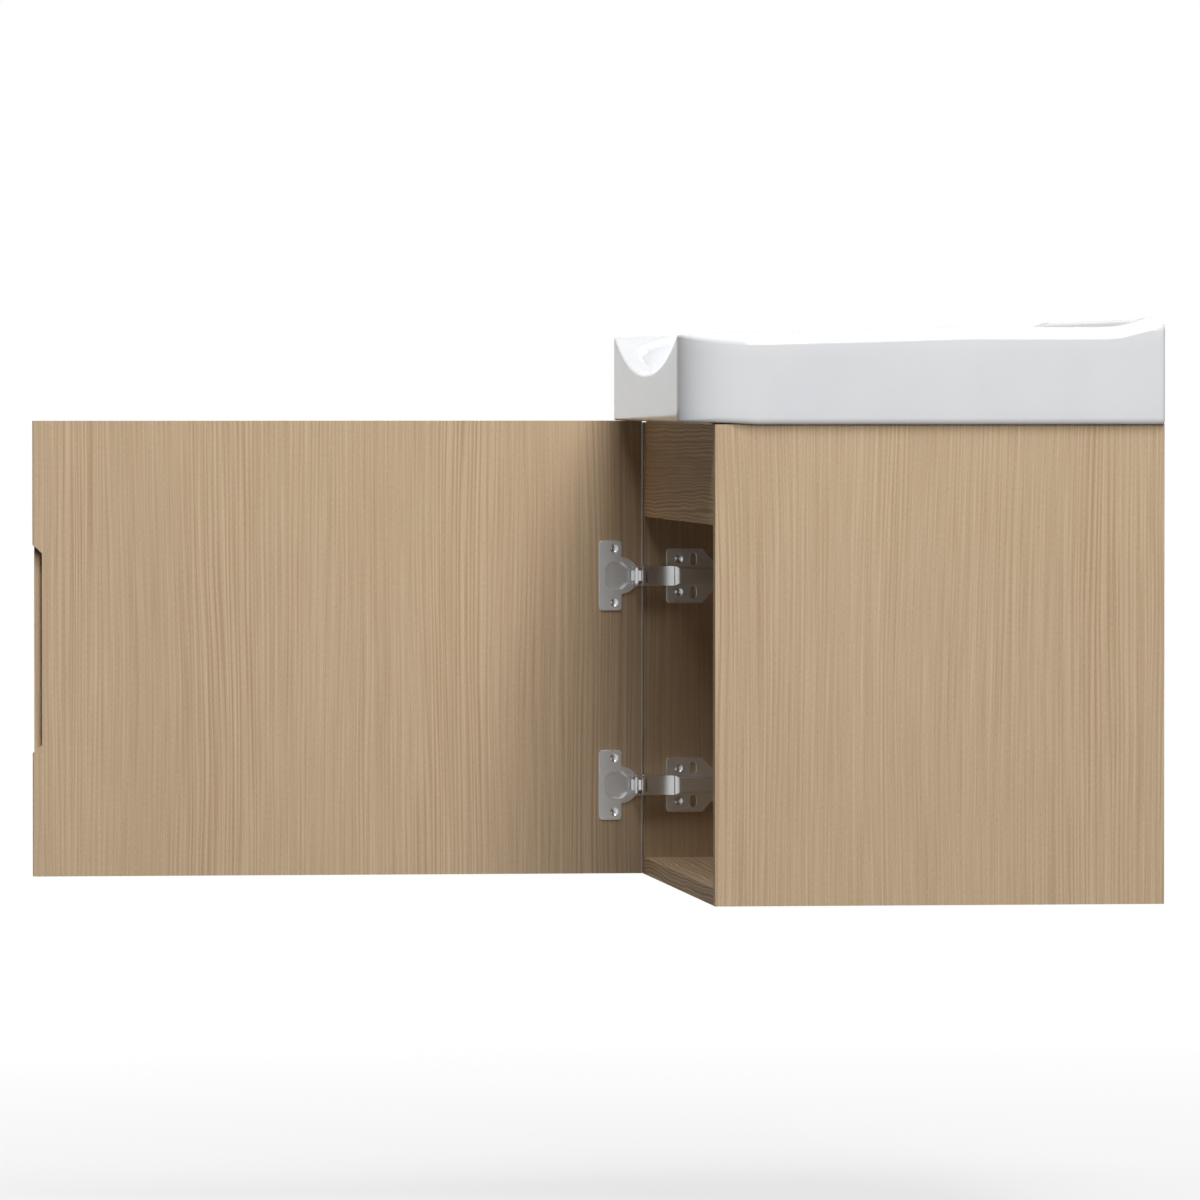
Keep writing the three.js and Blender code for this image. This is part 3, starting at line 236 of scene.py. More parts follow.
GLAZE_LIGHT = linear(232, 233, 235)
GLAZE_DARK = linear(228, 229, 232)
GLAZE_SPECK = linear(206, 207, 206)
GLAZE_CLOUD_SCALE = 14.0
GLAZE_SPECK_SCALE = 900.0
GLAZE_SPECK_SPAN = (0.74, 0.8)
GLAZE_SPECK_SHARE = 0.1
GLAZE_GLOSS = (0.3, 0.7, 0.1, 0.15)
GLAZE_SHINE = 0.4
GLAZE_RIPPLE_SCALE = 45.0
GLAZE_BUMP = (0.05, 0.001)
CLOUD_SPAN = (0.35, 0.65)


def build_ceramic(n):
    place = n.place()
    cloud = n.noise(place, GLAZE_CLOUD_SCALE, 3.0)
    speck = n.span(n.noise(place, GLAZE_SPECK_SCALE, 1.0), *GLAZE_SPECK_SPAN)
    plain = n.mix(n.span(cloud, *CLOUD_SPAN), GLAZE_LIGHT, GLAZE_DARK)
    return {
        "Base Color": n.mix(n.math("MULTIPLY", speck, GLAZE_SPECK_SHARE), plain, GLAZE_SPECK),
        "Roughness": n.span(cloud, *GLAZE_GLOSS),
        "Specular IOR Level": GLAZE_SHINE,
        "Normal": n.bump(n.noise(place, GLAZE_RIPPLE_SCALE, 2.0), *GLAZE_BUMP),
    }


ceramic = shader("glazed_ceramic", build_ceramic)

# Metals.

METALLIC = 0.85
METAL_CLOUD_SCALE = 60.0
METAL_GRAIN_SCALE = 1900.0
METAL_GRAIN_STRETCH = (1.0, 1.0, 9.0)
METAL_GRAIN_SPAN = (0.3, 0.7)
METAL_BUMP = (0.05, 0.00003)
SMOOTHER = 0.93
ROUGHER = 1.07


def metal(name, colour, worn, roughness):
    def build(n):
        place = n.place()
        cloud = n.noise(place, METAL_CLOUD_SCALE, 2.0)
        brushed = n.noise(n.scaled(place, METAL_GRAIN_STRETCH), METAL_GRAIN_SCALE, 2.0)
        return {
            "Base Color": n.mix(n.span(cloud, *CLOUD_SPAN), colour, worn),
            "Metallic": METALLIC,
            "Roughness": n.span(brushed, *METAL_GRAIN_SPAN, roughness * SMOOTHER, roughness * ROUGHER),
            "Normal": n.bump(brushed, *METAL_BUMP),
        }
    return shader(name, build)


METALS = {
    "steel": metal("satin_nickel", linear(208, 209, 209), linear(202, 203, 203), 0.24),
    "zinc": metal("bright_zinc", linear(212, 214, 216), linear(196, 198, 201), 0.22),
}

# The basin, in millimetres, with heights above the cabinet's top.

BASIN_WIDTH = 600
BASIN_DEPTH = 442
BASIN_FRONT_HEIGHT = 81.5
RIM_RISE = 6.8
RIM_LEVEL_START = 188
RIM_FALL_POWER = 0.85
UPSTAND_RISE = 8
UPSTAND_DEPTH = 20
UPSTAND_SWEEP = 48
UPSTAND_SWEEP_POWER = 3.5
FRONT_CORNER_X = 42
FRONT_CORNER_Y = 68
BACK_CORNER = 4
RIM_ROUND = 12
FRONT_RIM_ROUND = 2.4
FOOT_ROUND = 6
FRONT_FOOT_ROUND = 2
FOOT_UNDERCUT = 2.5
FOOT_REACH = 31
FOOT_STEP = 0.7
BACK_INSET_SHARE = 0.25
DIP_DEPTH = 36.5
DIP_HALF_SPAN = 260
DIP_WIDTH_POWER = 2.2
DIP_ROUND_POWER = 0.95
DIP_FADE = 12
SOFFIT_RISE = 1.9
CABINET_DEPTH = 411
BOWL_HALF_WIDTH = 264
BOWL_FRONT_RIM = 18
BOWL_BACK = 116
BOWL_CORNER = 62
BOWL_FLOOR_CORNER = 30
BOWL_FLOOR = 40
BOWL_FALL = 4
FALL_AT_HOLE = 0.9
FALL_AT_BOSS = 0.85
BOWL_SIDE_RUN = 84
BOWL_FRONT_RUN = 158
BOWL_BACK_RUN = 60
BOWL_WALL = 9
BOWL_OUTSIDE_TOP = 2.5
UNDERSIDE_SHARE = 0.12
DECK_HEIGHT = 83
DECK_BACK = 24
DECK_CORNER = 14
DECK_THICKNESS = 14
DECK_HOLLOW_HALF_WIDTH = 255
DECK_HOLLOW_FRONT = 98
DECK_HOLLOW_BACK = 16
DECK_HOLLOW_ROUND = 4
DECK_HOLLOW_SEGMENTS = 3
TAP_HOLE_RADIUS = 17.5
TAP_HOLE_FROM_WALL = 70
TAP_HOLE_LIP = 1.5
TAP_CUT_BELOW = 20
TAP_CUT_ABOVE = 2
WASTE_HOLE_RADIUS = 23
WASTE_BOSS_RADIUS = 38
WASTE_BOSS_DROP = 70
LIP = 2.6
FRONT_LIP = 7.5
LIP_REACH = 4
COVE = 1.6
DECK_EDGE = 3.0
HOLE_EDGE = 2.0
BASIN_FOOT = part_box("left_side_panel")[1].z / MM

RIM_TOP = BASIN_FRONT_HEIGHT + RIM_RISE
BOWL_DEPTH = RIM_TOP + BOWL_FLOOR
WASTE_Y = (-BASIN_DEPTH + BOWL_FRONT_RIM + BOWL_FRONT_RUN - BOWL_BACK - BOWL_BACK_RUN) / 2
FRONT_CORNER_START = BASIN_DEPTH - FRONT_CORNER_Y
QUARTER = math.pi / 2
BOSS_BOTTOM = -WASTE_BOSS_DROP
BOSS_TOP = -BOWL_FLOOR - BOWL_FALL - BOWL_WALL
# radius and height: the waste hole's lower edge, the boss round it, and its foot on the bowl's underside
BOSS_PROFILE = (
    (WASTE_HOLE_RADIUS, BOSS_BOTTOM + 1), (WASTE_HOLE_RADIUS + 1, BOSS_BOTTOM),
    (WASTE_BOSS_RADIUS - 2, BOSS_BOTTOM), (WASTE_BOSS_RADIUS - 0.6, BOSS_BOTTOM + 0.6),
    (WASTE_BOSS_RADIUS, BOSS_BOTTOM + 2), (WASTE_BOSS_RADIUS, BOSS_TOP - 3),
    (WASTE_BOSS_RADIUS + 1, BOSS_TOP - 1),
    (WASTE_BOSS_RADIUS + 4, -BOWL_FLOOR - BOWL_FALL * FALL_AT_BOSS - BOWL_WALL),
)

# how many points each stretch of half the outline gets, from the front's middle to the back's middle
STRETCHES = (("front", 44), ("corner", 26), ("side", 22), ("back", 46))
HALF_POINTS = sum(count for _name, count in STRETCHES)
# the back stretch shares its points between the side, the back corner and the back
BACK_SIDE_END = 0.3
BACK_CORNER_END = 0.55
# how many steps each stretch of a section gets
FOOT_STEPS = 6
OUTER_WALL_STEPS = 6
RIM_ROUND_STEPS = 10
RIM_TOP_STEPS = 6
LIP_STEPS = 7
EDGE_TRIES = 12
UPPER_BOWL_STEPS = 12
DECK_STEPS = 4
WALL_STEPS = 18
FLOOR_STEPS = 7
HOLE_STEPS = 4
UNDERSIDE_STEPS = 4
OUTSIDE_STEPS = 9
# the half axes of the ellipse that spreads the outline's points evenly round the waste hole
SPREAD_X = 180
SPREAD_Y = 45
# how near points and cuts are taken as one, in metres
BASIN_MERGE = 2e-6
SAME_PLACE = 1e-6
CUT_SNAP = 1e-7
ON_PLACE = 1e-5


def clamped(t):
    return min(max(t, 0), 1)


def smooth(t):
    t = clamped(t)
    return t * t * (3 - 2 * t)


def quarter_turn(steps, first=0):
    """The angles of a quarter turn in even steps."""
    return [i / steps * QUARTER for i in range(first, steps + 1)]


def shares_between(steps):
    """The shares of a way in even steps, without its ends."""
    return [i / steps for i in range(1, steps)]


def rim_height(x, y):
    height = RIM_TOP
    out = -y
    if out > RIM_LEVEL_START:
        fall = (out - RIM_LEVEL_START) / (BASIN_DEPTH - RIM_LEVEL_START)
        height -= RIM_RISE * fall ** RIM_FALL_POWER
    sweep = clamped((UPSTAND_DEPTH + UPSTAND_SWEEP - out) / UPSTAND_SWEEP)
    height += UPSTAND_RISE * sweep ** UPSTAND_SWEEP_POWER
    across = abs(x) / DIP_HALF_SPAN
    if across < 1:
        fade = clamped((out - FRONT_CORNER_START + DIP_FADE) / DIP_FADE)
        height -= fade * DIP_DEPTH * (1 - across ** DIP_WIDTH_POWER) ** DIP_ROUND_POWER
    return height


def foot_height(y):
    """The underside rises a little toward the front, so that the door swings clear below it."""
    return SOFFIT_RISE * clamped((-y - FRONT_CORNER_START) / (CABINET_DEPTH - FRONT_CORNER_START))


def stretch_of(index):
    """The stretch of the half outline that a point is on, and how far along it lies."""
    for name, count in STRETCHES:
        if index < count:
            return name, index / count
        index -= count
    return "back", 1.0


def edge_round(index, front, side):
    """A measure of an outer edge, which has one value along the front and grows round the corner."""
    name, t = stretch_of(index)
    share = 0 if name == "front" else smooth(t) if name == "corner" else 1
    return front + (side - front) * share


def along_back(t, x, y_start, y_end, corner):
    """A place on the run from the side, round a back corner, to the middle of the back."""
    side = max(abs(y_end - y_start) - corner, 0)
    back = x - corner
    if t < BACK_SIDE_END:
        return x, y_start + side * t / BACK_SIDE_END
    if t < BACK_CORNER_END:
        angle = (t - BACK_SIDE_END) / (BACK_CORNER_END - BACK_SIDE_END) * QUARTER
        return back + corner * math.cos(angle), y_end - corner + corner * math.sin(angle)
    return back * (1 - (t - BACK_CORNER_END) / (1 - BACK_CORNER_END)), y_end


def outer_point(index, inset):
    """A point of the basin's outline on the side x >= 0, moved in by an inset."""
    name, t = stretch_of(index)
    half = BASIN_WIDTH / 2
    flat_half = half - FRONT_CORNER_X
    if name == "front":
        return flat_half * math.sin(t * QUARTER), -BASIN_DEPTH + inset
    if name == "corner":
        angle = (1 - t) * QUARTER
        return (flat_half + (FRONT_CORNER_X - inset) * math.cos(angle),
                -FRONT_CORNER_START - (FRONT_CORNER_Y - inset) * math.sin(angle))
    split = -BOWL_BACK - BOWL_CORNER
    if name == "side":
        return half - inset, -FRONT_CORNER_START + (split + FRONT_CORNER_START) * t
    return along_back(t, half - inset, split, -inset * BACK_INSET_SHARE, BACK_CORNER)


def rounded(index, half, front, back, corner):
    """A point of a rounded rectangle in plan on the side x >= 0."""
    name, t = stretch_of(index)
    if name == "front":
        return (half - corner) * math.sin(t * QUARTER), front
    if name == "corner":
        angle = (1 - t) * QUARTER
        return half - corner + corner * math.cos(angle), front + corner - corner * math.sin(angle)
    split = back - corner
    if name == "side":
        return half, front + corner + (split - front - corner) * t
    return along_back(t, half, split, back, corner)


def bowl_at(index, angle, wall=0.0, out=0.0):
    """A point of the bowl's surface, whose angle runs from 0 at the rim to a right angle on the floor."""
    inset = 1 - math.cos(angle)
    grow = wall * math.cos(angle) + out
    x, y = rounded(
        index,
        BOWL_HALF_WIDTH - inset * BOWL_SIDE_RUN + grow,
        -BASIN_DEPTH + BOWL_FRONT_RIM + inset * BOWL_FRONT_RUN - grow,
        -BOWL_BACK - inset * BOWL_BACK_RUN + grow,
        BOWL_CORNER - inset * (BOWL_CORNER - BOWL_FLOOR_CORNER) + grow,
    )
    return x, y, BOWL_DEPTH - BOWL_FLOOR - (BOWL_DEPTH + wall) * math.sin(angle)


def angle_at(height, wall=0.0):
    return math.asin(clamped((BOWL_DEPTH - BOWL_FLOOR - height) / (BOWL_DEPTH + wall)))


def deck_at(index, out):
    """A point of the opening's edge along the deck, which the last stretch of the outline follows."""
    t = stretch_of(index)[1]
    start = -BOWL_BACK - BOWL_CORNER
    return along_back(t, BOWL_HALF_WIDTH + out, start, -DECK_BACK + out, DECK_CORNER + out)


def add_outer_face(column, index):
    """The foot's underside, its rounded edge, the outer wall and the rim's rounded edge."""
    x, y = outer_point(index, FOOT_REACH)
    column.append(Vector((x, y, 0)))
    x, y = outer_point(index, FOOT_REACH - FOOT_STEP)
    column.append(Vector((x, y, foot_height(y))))
    foot = edge_round(index, FRONT_FOOT_ROUND, FOOT_ROUND)
    undercut = edge_round(index, FRONT_FOOT_ROUND, FOOT_UNDERCUT)
    for angle in quarter_turn(FOOT_STEPS):
        x, y = outer_point(index, undercut * (1 - math.sin(angle)))
        column.append(Vector((x, y, foot_height(y) + foot * (1 - math.cos(angle)))))
    x, y = outer_point(index, 0)
    low = foot_height(y) + foot
    radius = edge_round(index, FRONT_RIM_ROUND, RIM_ROUND)
    high = rim_height(x, y) - radius
    for share in shares_between(OUTER_WALL_STEPS):
        column.append(Vector((x, y, low + (high - low) * share)))
    for angle in quarter_turn(RIM_ROUND_STEPS):
        x, y = outer_point(index, radius * (1 - math.cos(angle)))
        column.append(Vector((x, y, rim_height(x, y) - radius * (1 - math.sin(angle)))))


def opening_edge(index, on_deck):
    """The lip's radius, its height, a function for its places, and the place where it starts."""
    if on_deck:
        top = rim_height(*deck_at(index, 0))
        return LIP, top, lambda out, drop: deck_at(index, out), deck_at(index, LIP)
    name, t = stretch_of(index)
    lip = FRONT_LIP + (LIP - FRONT_LIP) * (smooth(t) if name == "side" else 0)
    top = RIM_TOP
    for _ in range(EDGE_TRIES):
        x, y, _z = bowl_at(index, angle_at(top))
        top = 0.5 * top + 0.5 * rim_height(x, y - LIP_REACH)

    def lip_at(out, drop):
        return bowl_at(index, angle_at(top - drop), out=out)[:2]

    return lip, top, lip_at, lip_at(lip, 0)


def add_rim(column, index, on_deck):
    """The rim's top, straight from the outer edge to the opening, and the opening's rounded lip."""
    start = column[-1].copy()
    lip, top, lip_at, outside = opening_edge(index, on_deck)
    for share in shares_between(RIM_TOP_STEPS):
        x = start.x + (outside[0] - start.x) * share
        y = start.y + (outside[1] - start.y) * share
        column.append(Vector((x, y, rim_height(x, y) + (top - rim_height(*outside)) * share)))
    for angle in quarter_turn(LIP_STEPS):
        drop = lip * (1 - math.cos(angle))
        x, y = lip_at(lip * (1 - math.sin(angle)), drop)
        column.append(Vector((x, y, top - drop)))
    return top - lip


def add_deck(column, index):
    """The deck with its cove, and the rounded edge over the bowl."""
    for angle in quarter_turn(DECK_STEPS, 1):
        x, y = deck_at(index, -COVE * (1 - math.cos(angle)))
        column.append(Vector((x, y, DECK_HEIGHT + COVE * (1 - math.sin(angle)))))
    x0, y0 = deck_at(index, -COVE)
    x1, y1, _z = bowl_at(index, angle_at(DECK_HEIGHT), out=DECK_EDGE)
    for share in shares_between(DECK_STEPS):
        column.append(Vector((x0 + (x1 - x0) * share, y0 + (y1 - y0) * share, DECK_HEIGHT)))
    for angle in quarter_turn(DECK_STEPS):
        z = DECK_HEIGHT - DECK_EDGE * (1 - math.cos(angle))
        x, y, _z = bowl_at(index, angle_at(z), out=DECK_EDGE * (1 - math.sin(angle)))
        column.append(Vector((x, y, z)))


def add_bowl(column, index):
    """The bowl's wall, its floor, the waste hole with its boss, and the bowl's underside."""
    begin = angle_at(column[-1].z)
    for i in range(1, WALL_STEPS + 1):
        column.append(Vector(bowl_at(index, begin + (QUARTER - begin) * i / WALL_STEPS)))
    x0, y0, z0 = bowl_at(index, QUARTER)
    turn = math.atan2((y0 - WASTE_Y) / SPREAD_Y, x0 / SPREAD_X)

    def ring(radius, z):
        return Vector((radius * math.cos(turn), WASTE_Y + radius * math.sin(turn), z))

    low = -BOWL_FLOOR - BOWL_FALL * FALL_AT_HOLE
    x1, y1, _z = ring(WASTE_HOLE_RADIUS + HOLE_EDGE, low)
    for i in range(1, FLOOR_STEPS + 1):
        f = i / FLOOR_STEPS
        z = z0 + (low - z0) * smooth(f * 0.5) * 2
        column.append(Vector((x0 + (x1 - x0) * f, y0 + (y1 - y0) * f, z)))
    for angle in quarter_turn(HOLE_STEPS, 1):
        radius = WASTE_HOLE_RADIUS + HOLE_EDGE * (1 - math.sin(angle))
        column.append(ring(radius, low - HOLE_EDGE * (1 - math.cos(angle))))
    for radius, z in BOSS_PROFILE:
        column.append(ring(radius, z))
    start = column[-1].copy()
    x1, y1, z1 = bowl_at(index, QUARTER, wall=BOWL_WALL)
    for f in shares_between(UNDERSIDE_STEPS):
        column.append(Vector((
            start.x + (x1 - start.x) * f, start.y + (y1 - start.y) * f, start.z + (z1 - start.z) * f,
        )))
    stop = angle_at(BOWL_OUTSIDE_TOP, wall=BOWL_WALL)
    for i in range(OUTSIDE_STEPS + 1):
        angle = QUARTER + (stop - QUARTER) * i / OUTSIDE_STEPS
        column.append(Vector(bowl_at(index, angle, wall=BOWL_WALL)))


def basin_column(index):
    """The basin's closed section at one place of the outline, from the foot over the rim and back."""
    column = []
    on_deck = stretch_of(index)[0] == "back"
    add_outer_face(column, index)
    top = add_rim(column, index, on_deck)
    if on_deck:
        add_deck(column, index)
    else:
        fall = RIM_TOP - LIP - (DECK_HEIGHT - DECK_EDGE)
        for i in range(1, UPPER_BOWL_STEPS + 1):
            column.append(Vector(bowl_at(index, angle_at(top - fall * i / UPPER_BOWL_STEPS))))
    add_bowl(column, index)
    x, y, _z = column[-1]
    foot_x, foot_y = outer_point(index, FOOT_REACH)
    column.append(Vector((x + (foot_x - x) * UNDERSIDE_SHARE, y + (foot_y - y) * UNDERSIDE_SHARE, 0)))
    return column


def basin_mesh():
    half = [basin_column(i) for i in range(HALF_POINTS + 1)]
    # the first column lies on the front's middle and the last on the back's middle
    left = [[Vector((-p.x, p.y, p.z)) for p in column] for column in half[1:-1]]
    columns = half + left[::-1]
    mesh = bpy.data.meshes.new("basin_glazed")
    rows = len(columns[0])
    count = len(columns)
    points = [(p.x * MM, p.y * MM, (p.z + BASIN_FOOT) * MM) for column in columns for p in column]
    faces = []
    for i in range(count):
        j = (i + 1) % count
        for k in range(rows):
            m = (k + 1) % rows
            faces.append((i * rows + k, j * rows + k, j * rows + m, i * rows + m))
    mesh.from_pydata(points, [], faces)
    work = bmesh.new()
    work.from_mesh(mesh)
    bmesh.ops.remove_doubles(work, verts=work.verts, dist=BASIN_MERGE)
    bmesh.ops.dissolve_degenerate(work, edges=work.edges, dist=SAME_PLACE)
    bmesh.ops.recalc_face_normals(work, faces=work.faces)
    work.to_mesh(mesh)
    work.free()
    return mesh


def added(name, mesh):
    obj = bpy.data.objects.new(name, mesh)
    bpy.context.scene.collection.objects.link(obj)
    return obj


def built(name, build):
    """A new object whose mesh a function fills in a bmesh."""
    work = bmesh.new()
    build(work)
    bmesh.ops.recalc_face_normals(work, faces=work.faces)
    mesh = bpy.data.meshes.new(name)
    work.to_mesh(mesh)
    work.free()
    return added(name, mesh)


def turn_into(work, profile, centre, steps):
    """Adds a closed turned body around Z whose profile starts and ends on the axis."""
    rings = []
    for r, z in profile:
        if r == 0:
            rings.append([work.verts.new((centre[0], centre[1], z))])
        else:
            rings.append([
                work.verts.new((centre[0] + r * math.cos(a), centre[1] + r * math.sin(a), z))
                for a in (2 * math.pi * i / steps for i in range(steps))
            ])
    for a, b in zip(rings, rings[1:]):
        for i in range(steps):
            j = (i + 1) % steps
            face = [a[i % len(a)], a[j % len(a)], b[j % len(b)], b[i % len(b)]]
            work.faces.new(list(dict.fromkeys(face)))


def apply_modifiers(obj):
    """Makes the object's modifiers part of its mesh."""
    bpy.context.view_layer.update()
    graph = bpy.context.evaluated_depsgraph_get()
    mesh = bpy.data.meshes.new_from_object(obj.evaluated_get(graph))
    obj.modifiers.clear()
    obj.data = mesh


def cut_away(obj, tool):
    modifier = obj.modifiers.new("cut", "BOOLEAN")
    modifier.operation = "DIFFERENCE"
    modifier.solver = "EXACT"
    modifier.object = tool
    apply_modifiers(obj)
    bpy.data.objects.remove(tool)


def smooth_by_angle(obj, degrees):
    for polygon in obj.data.polygons:
        polygon.use_smooth = True
    obj.data.set_sharp_from_angle(angle=math.radians(degrees))


BASIN_SHARP = 32
TAP_TOOL_STEPS = 64
TAP_LIP_STEPS = 4


def fill_hollow(work):
    """The hollow under the deck, with rounded inner corners, as a slip-cast one has."""
    bmesh.ops.create_cube(work, size=1)
    under_deck = DECK_HEIGHT - DECK_THICKNESS
    size = (2 * DECK_HOLLOW_HALF_WIDTH, DECK_HOLLOW_FRONT - DECK_HOLLOW_BACK, under_deck + 1)
    middle = (0, -(DECK_HOLLOW_FRONT + DECK_HOLLOW_BACK) / 2, (under_deck - 1) / 2 + BASIN_FOOT)
    for v in work.verts:
        v.co = Vector([(c * s + m) * MM for c, s, m in zip(v.co, size, middle)])
    bmesh.ops.bevel(work, geom=list(work.edges), offset=DECK_HOLLOW_ROUND * MM,
                    segments=DECK_HOLLOW_SEGMENTS, affect="EDGES", profile=0.5)


def fill_tap_hole(work):
    z = (DECK_HEIGHT + BASIN_FOOT) * MM
    r = TAP_HOLE_RADIUS * MM
    lip = TAP_HOLE_LIP * MM
    low = z - TAP_CUT_BELOW * MM
    high = z + TAP_CUT_ABOVE * MM
    profile = [(0, low), (r, low), (r, z - lip)]
    for angle in quarter_turn(TAP_LIP_STEPS, 1):
        profile.append((r + lip * (1 - math.cos(angle)), z - lip + lip * math.sin(angle)))
    profile += [(r + lip, high), (0, high)]
    turn_into(work, profile, (0, -TAP_HOLE_FROM_WALL * MM), TAP_TOOL_STEPS)


basin = added("basin_glazed", basin_mesh())
cut_away(basin, built("hollow_tool", fill_hollow))
cut_away(basin, built("tap_tool", fill_tap_hole))
smooth_by_angle(basin, BASIN_SHARP)
basin.data.materials.clear()
basin.data.materials.append(ceramic)
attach(basin, "cabinet")
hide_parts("basin")

# The boards keep their own solids, with slightly eased edges.

UPRIGHT = ("left_side_panel", "right_side_panel", "door_panel")
ACROSS = ("bottom_panel", "front_rail", "upper_back_rail", "lower_back_rail")
EASED = 0.12
BOARD_EDGE_ANGLE = 50
BEVEL_SEGMENTS = 2


def round_edges(obj, width, degrees):
    bevel = obj.modifiers.new("edges", "BEVEL")
    bevel.width = width * MM
    bevel.segments = BEVEL_SEGMENTS
    bevel.limit_method = "ANGLE"
    bevel.angle_limit = math.radians(degrees)


for name in UPRIGHT + ACROSS:
    board = nodes[name]
    board.data.materials.clear()
    board.data.materials.append(wood_upright if name in UPRIGHT else wood_across)
    round_edges(board, EASED, BOARD_EDGE_ANGLE)

# The hinge arm's top sheet: heights above the side panel, and places behind the cabinet's front.

ARM_SHEET = 1.2
ARM_TOP = 14.0
ARM_HEAD_END = 16.5
ARM_BEND_END = 28.0
ARM_NECK_END = 34.4
ARM_DIP = 2.3
ARM_CUT = 0.3
ARM_SIDES_TOP = 9.0
HEAD_SHEET_MIDDLE = 12.9
NECK_SHEET_MIDDLE = 10.9
CABINET_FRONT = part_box("left_side_panel")[0].y
ARM_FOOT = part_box("left_side_panel")[1].x


def shape_arm(work):
    """Folds the arm's top sheet: down to the bend, up to its end, and up again to the neck's end."""
    step = ARM_BEND_END + ARM_CUT
    for place in (step, ARM_NECK_END):
        geometry = work.verts[:] + work.edges[:] + work.faces[:]
        bmesh.ops.bisect_plane(work, geom=geometry, dist=CUT_SNAP,
                               plane_co=(0, CABINET_FRONT + place * MM, 0), plane_no=(0, 1, 0))
    # how high the top sheet lies at each place along the arm
    low = ARM_TOP - ARM_DIP
    rise = {ARM_HEAD_END: low, ARM_BEND_END: ARM_TOP, step: low + ARM_CUT, ARM_NECK_END: ARM_TOP}
    for place, height in rise.items():
        middle = HEAD_SHEET_MIDDLE if place == ARM_HEAD_END else NECK_SHEET_MIDDLE
        for vert in work.verts:
            over = (vert.co.x - ARM_FOOT) / MM
            if abs(vert.co.y - CABINET_FRONT - place * MM) <= ON_PLACE and over > ARM_SIDES_TOP:
                vert.co.x = ARM_FOOT + (height - (0 if over > middle else ARM_SHEET)) * MM


FLATS_FIRST = 100


def finish_metal(obj, name, slot, degrees):
    """Smooth curves with even flats, the metal, and the place of the CAD node that the object stands for."""
    smooth_by_angle(obj, degrees)
    even = obj.modifiers.new("even", "WEIGHTED_NORMAL")
    even.keep_sharp = True
    even.weight = FLATS_FIRST
    apply_modifiers(obj)
    obj.data.materials.clear()
    obj.data.materials.append(METALS[slot])
    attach(obj, nodes[name]["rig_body"])
    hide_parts(name)


# The screws of the hinges, in millimetres.

SOCKET_RADIUS = 1.3
SOCKET_DEPTH = 4.2
FUNNEL_RADIUS = 2.5
FUNNEL_DEPTH = 0.75
HEAD_EDGE = 0.12
HEAD_CONE = 1.1
SCREW_SHANK = 1.6
SCREW_POINT = 2.4
SCREW_STEPS = 40
SCREW_SHARP = 30


def sunk_screw(name):
    """A screw along X whose head is hollowed to a funnel with a deep socket, turned in one piece."""
    low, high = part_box(name)
    head = (high.z - low.z) / 2
    top = high.x
    shank = SCREW_SHANK * MM
    socket = SOCKET_RADIUS * MM
    edge = HEAD_EDGE * MM
    profile = [
        (0, top - SOCKET_DEPTH * MM), (socket, top - SOCKET_DEPTH * MM),
        (socket, top - (FUNNEL_DEPTH + HEAD_EDGE) * MM), (FUNNEL_RADIUS * MM, top - FUNNEL_DEPTH * MM),
        (head - 3 * edge, top - edge), (head - 2 * edge, top), (head - edge, top), (head - edge, top - edge),
        (shank, top - HEAD_CONE * MM), (shank, low.x + SCREW_POINT * MM), (0, low.x),
    ]

    def build(work):
        turn_into(work, profile, ((low.y + high.y) / 2, (low.z + high.z) / 2), SCREW_STEPS)
        for vert in work.verts:
            vert.co = Vector((vert.co.z, vert.co.x, vert.co.y))

    finish_metal(built(f"{name}_fine", build), name, "zinc", SCREW_SHARP)


METAL_EDGE_ANGLE = 24
FLAT_ANGLE = 0.6


def refined(name, slot, edge, shape=None):
    """A copy of a CAD node with merged flats, small rounded edges and smooth curves."""
    mesh = nodes[name].data.copy()
    work = bmesh.new()
    work.from_mesh(mesh)
    bmesh.ops.remove_doubles(work, verts=work.verts, dist=SAME_PLACE)
    bmesh.ops.dissolve_limit(work, angle_limit=math.radians(FLAT_ANGLE), verts=work.verts, edges=work.edges)
    if shape:
        shape(work)
    for line in work.edges:
        line.smooth = True
    work.to_mesh(mesh)
    work.free()
    obj = added(f"{name}_fine", mesh)
    round_edges(obj, edge, METAL_EDGE_ANGLE)
    apply_modifiers(obj)
    finish_metal(obj, name, slot, METAL_EDGE_ANGLE)


for level in ("lower", "upper"):
    refined(f"{level}_hinge_cup", "steel", 0.25)
    refined(f"{level}_hinge_arm", "steel", 0.25, shape_arm)
    refined(f"{level}_mounting_plate", "steel", 0.55)
    refined(f"{level}_outer_link", "steel", 0.2)
    refined(f"{level}_inner_link", "steel", 0.2)
    for part in ("outer_arm_pin", "inner_arm_pin", "cup_pin", "arm_screw"):
        refined(f"{level}_{part}", "zinc", 0.12)
    for screw in ("plate_screw_lower", "plate_screw_upper", "cup_screw_lower", "cup_screw_upper"):
        sunk_screw(f"{level}_{screw}")

for side in ("left", "right"):
    refined(f"{side}_hanger", "zinc", 0.3)
    for height in ("lower", "upper"):
        refined(f"{side}_hanger_screw_{height}", "zinc", 0.12)
    for joint in ("bottom_front", "bottom_back", "front_rail", "upper_rail", "lower_rail"):
        refined(f"{joint}_cam_{side}", "zinc", 0.15)
        refined(f"{joint}_bolt_{side}", "steel", 0.12)

# The pale floor, which is white far away and keeps the shadow near the part.

FLOOR_LEVEL = -0.72
FLOOR_HALF = 30
FLOOR_LIT = 0.07
FLOOR_SEEN = 0.8
FLOOR_FADE = (0.8, 2.6, 0.75, 1.0)

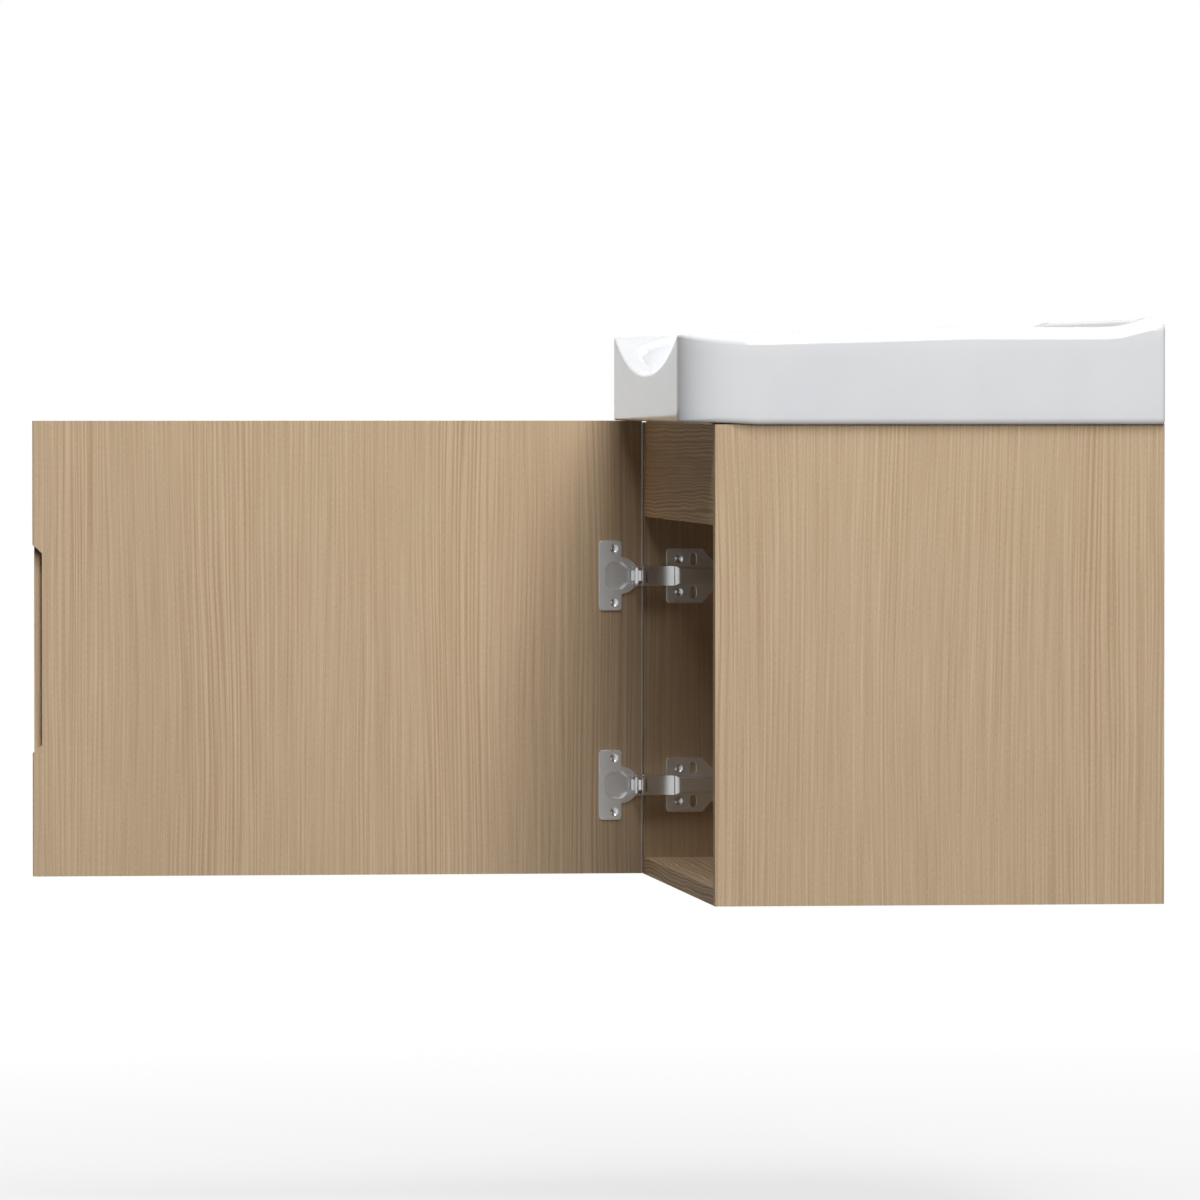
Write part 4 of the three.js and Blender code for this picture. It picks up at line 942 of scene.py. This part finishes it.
floor_mesh = bpy.data.meshes.new("floor")
corners = [(x * FLOOR_HALF, y * FLOOR_HALF, FLOOR_LEVEL) for x, y in ((-1, -1), (1, -1), (1, 1), (-1, 1))]
floor_mesh.from_pydata(corners, [], [(0, 1, 2, 3)])
floor = added("floor", floor_mesh)
pale_floor = bpy.data.materials.new("pale_floor")
n = Nodes(pale_floor)
seen = n.seen()
tone = n.span(seen, 0.0, 1.0, FLOOR_LIT, FLOOR_SEEN)
grey = n.add("ShaderNodeCombineColor", {"Red": tone, "Green": tone, "Blue": tone}).outputs[0]
plain = n.add("ShaderNodeBsdfDiffuse", {"Color": grey}).outputs[0]
white = n.add("ShaderNodeEmission", {"Color": WHITE, "Strength": 1.0}).outputs[0]
away = n.add("ShaderNodeVectorMath", {0: n.scaled(n.place(), (1, 1, 0))}, operation="LENGTH").outputs["Value"]
share = n.math("MULTIPLY", seen, n.span(away, *FLOOR_FADE))
both = n.add("ShaderNodeMixShader", {0: share, 1: plain, 2: white}).outputs[0]
n.add("ShaderNodeOutputMaterial", {"Surface": both})
floor.data.materials.append(pale_floor)

# The world, white where it is seen and dim as a light.

AMBIENT = 0.035

world = bpy.data.worlds.new("studio")
bpy.context.scene.world = world
n = Nodes(world)
strength = n.span(n.seen(), 0.0, 1.0, AMBIENT, 1.0)
backdrop = n.add("ShaderNodeBackground", {"Color": WHITE, "Strength": strength}).outputs[0]
n.add("ShaderNodeOutputWorld", {"Surface": backdrop})

# Soft lamps: name, place, width and height in metres, and power in watts.

AIM = (0.1, -0.35, -0.1)
LAMPS = (
    ("key", (5.8, 0.31, 3.2), 1.8, 4.2, 225),
    ("top", (2.8, 0.3, 4.85), 2.7, 2.1, 193),
    ("top_front", (1.3, -1.45, 3.3), 1.2, 0.8, 34),
    ("fill_behind", (-3.6, 2.2, 1.6), 2.4, 1.6, 60),
)

for name, place, width, height, power in LAMPS:
    data = bpy.data.lights.new(name, "AREA")
    data.shape = "RECTANGLE"
    data.size = width
    data.size_y = height
    data.energy = power
    light = bpy.data.objects.new(name, data)
    light.location = place
    light.rotation_mode = "QUATERNION"
    light.rotation_quaternion = (Vector(AIM) - Vector(place)).to_track_quat("-Z", "Y")
    bpy.context.scene.collection.objects.link(light)
